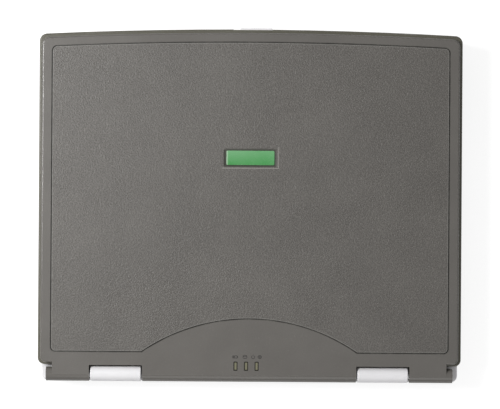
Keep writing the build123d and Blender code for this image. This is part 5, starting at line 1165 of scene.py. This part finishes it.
def cut_out(piece, cutters):
    """Cut every cutter out of a piece and drop the cutters."""
    for cutter in cutters:
        activate(piece)
        cut = piece.modifiers.new("cut", "BOOLEAN")
        cut.operation = "DIFFERENCE"
        cut.solver = "EXACT"
        cut.object = cutter
        bpy.ops.object.modifier_apply(modifier=cut.name)
        bpy.data.objects.remove(cutter)
    activate(piece)


def recess_screws(node, places, width, depth, body, name):
    """Screws of a node with cross recesses, in its place."""
    screws = merged_copy(node, name)
    cut_out(screws, [wedge for place in places for wedge in cross_cutter(place, width, depth)])
    bpy.ops.object.shade_smooth_by_angle(angle=screw_smooth_angle)
    weighted = screws.modifiers.new("flat_faces_stay_flat", "WEIGHTED_NORMAL")
    weighted.keep_sharp = True
    bpy.ops.object.modifier_apply(modifier=weighted.name)
    finish_piece(screws, finishes["steel"], body)
    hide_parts(node)


pin_radius = 0.52 * MM
pin_pitch = 2.29 * MM
pin_row_pitch = 2.0 * MM
pin_stagger = 0.6 * MM
pin_skin = 3.0 * MM


def open_display_pins():
    """The display port with its three rows of five pin holes open at the face."""
    low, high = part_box("vga_port")
    middle_x, middle_height = (low.x + high.x) / 2, (low.z + high.z) / 2
    port = merged_copy("vga_port", "display_port_open")
    holes = []
    for row in (-1, 0, 1):
        for column in range(-2, 3):
            deselect()
            x = middle_x + row * pin_stagger + column * pin_pitch
            place = (x, high.y, middle_height + row * pin_row_pitch)
            bpy.ops.mesh.primitive_cylinder_add(
                vertices=12, radius=pin_radius, depth=pin_skin, location=place, rotation=(pi / 2, 0, 0)
            )
            settle(bpy.context.object)
            holes.append(bpy.context.object)
    cut_out(port, holes)
    bpy.ops.object.shade_flat()
    finish_piece(port, own_finishes["vga_port"], "base")
    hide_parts("vga_port")


open_display_pins()

case_screw_level = 1.8 * MM
case_screw_places = [
    (x * MM, y * MM, case_screw_level)
    for x, y in (
        (154.5, 129.5), (-154.5, 129.5), (156.0, 14.8), (-156.0, 38.0), (-26.0, -123.7), (24.0, -123.7),
    )
]
bezel_screw_level = 27.3 * MM
bezel_screw_places = [
    (x * MM, y * MM, bezel_screw_level) for x in (-162.3, 162.3) for y in (-100, 90)
]
recess_screws("case_screws", case_screw_places, 3.4 * MM, 0.8 * MM, "base", "case_screws_recessed")
recess_screws("bezel_screws", bezel_screw_places, 2.4 * MM, 0.6 * MM, "lid", "bezel_screws_recessed")

bpy.context.view_layer.update()

# Camera straight above the lid, with the rear hinges at the bottom of the picture
camera_height = 1.6
photo_width = 500
photo_height = 409
lid_width_pixels = 424.3
frame_turn = radians(0.38)
middle_pixel = (250.2, 205.7)
plan_shift = 0.5 * MM
metres_per_pixel = 2 * half_width / lid_width_pixels
view_width = photo_width * metres_per_pixel

camera_data = bpy.data.cameras.new("camera")
camera_data.sensor_width = 36.0
camera_data.lens = camera_data.sensor_width * camera_height / view_width
camera_data.clip_end = 10.0
camera = bpy.data.objects.new("camera", camera_data)
bpy.context.scene.collection.objects.link(camera)
off_x = (photo_width / 2 - middle_pixel[0]) * metres_per_pixel
off_y = (photo_height / 2 - middle_pixel[1]) * metres_per_pixel
camera.location = (-off_x, off_y + plan_shift, lid_top + camera_height)
camera.rotation_euler = (0, 0, pi + frame_turn)
bpy.context.scene.camera = camera


# Stage: pale floor that reads as white to the camera, and a plain pale world
def white_to_camera(tree, shader, strength):
    """Add a plain white glow to a shader where camera, mirror and glass rays look."""
    rays = put(tree, "LightPath")
    seen = calc(tree, "MAXIMUM", rays.outputs["Is Camera Ray"], rays.outputs["Is Glossy Ray"])
    seen = calc(tree, "MAXIMUM", seen, rays.outputs["Is Transmission Ray"])
    glow = put(tree, "Emission", Color=(1.0, 1.0, 1.0, 1.0), Strength=product(tree, seen, strength))
    both = put(tree, "AddShader")
    fill(tree, both.inputs[0], shader.outputs[0])
    fill(tree, both.inputs[1], glow.outputs[0])
    return both


floor_colour = (0.5, 0.5, 0.5, 1.0)
floor_glow = 0.78
floor_side = 12
world_level = 0.3


def build_floor():
    """Wide pale floor under the object, which keeps its shadow."""
    deselect()
    bpy.ops.mesh.primitive_plane_add(size=floor_side, location=(0, 0, 0))
    floor = bpy.context.object
    floor.name = "floor"
    material = bpy.data.materials.new("floor_white")
    material.use_nodes = True
    tree = material.node_tree
    shader = tree.nodes["Principled BSDF"]
    feed(shader, Base_Color=floor_colour, Roughness=0.9, Specular_IOR_Level=0.0)
    both = white_to_camera(tree, shader, floor_glow)
    seen_from_below = put(tree, "NewGeometry").outputs["Backfacing"]
    one_sided = put(tree, "MixShader")
    fill(tree, one_sided.inputs[0], seen_from_below)
    fill(tree, one_sided.inputs[1], both.outputs[0])
    fill(tree, one_sided.inputs[2], put(tree, "BsdfTransparent").outputs[0])
    feed(tree.nodes["Material Output"], Surface=one_sided.outputs[0])
    floor.data.materials.append(material)


def build_world(level):
    """Even pale light from all round, seen as white by the camera."""
    world = bpy.data.worlds.new("world")
    world.use_nodes = True
    tree = world.node_tree
    rays = put(tree, "LightPath")
    strength = between(tree, rays.outputs["Is Camera Ray"], level, 1.0)
    feed(tree.nodes["Background"], Color=(1.0, 1.0, 1.0, 1.0), Strength=strength)
    bpy.context.scene.world = world


def add_softbox(name, place, width, power):
    """Square area light that faces the object."""
    data = bpy.data.lights.new(name, "AREA")
    data.size = width
    data.energy = power
    lamp = bpy.data.objects.new(name, data)
    bpy.context.scene.collection.objects.link(lamp)
    lamp.location = place
    lamp.rotation_euler = (Vector((0, 0, middle_z)) - Vector(place)).to_track_quat("-Z", "Y").to_euler()


build_floor()
build_world(world_level)
add_softbox("key_light", (0.7, -0.2, 0.93), 0.42, 10.9)
add_softbox("fill_light", (-0.3, 1.3, 1.3), 1.2, 4.5)

bpy.context.scene.view_settings.view_transform = "Standard"
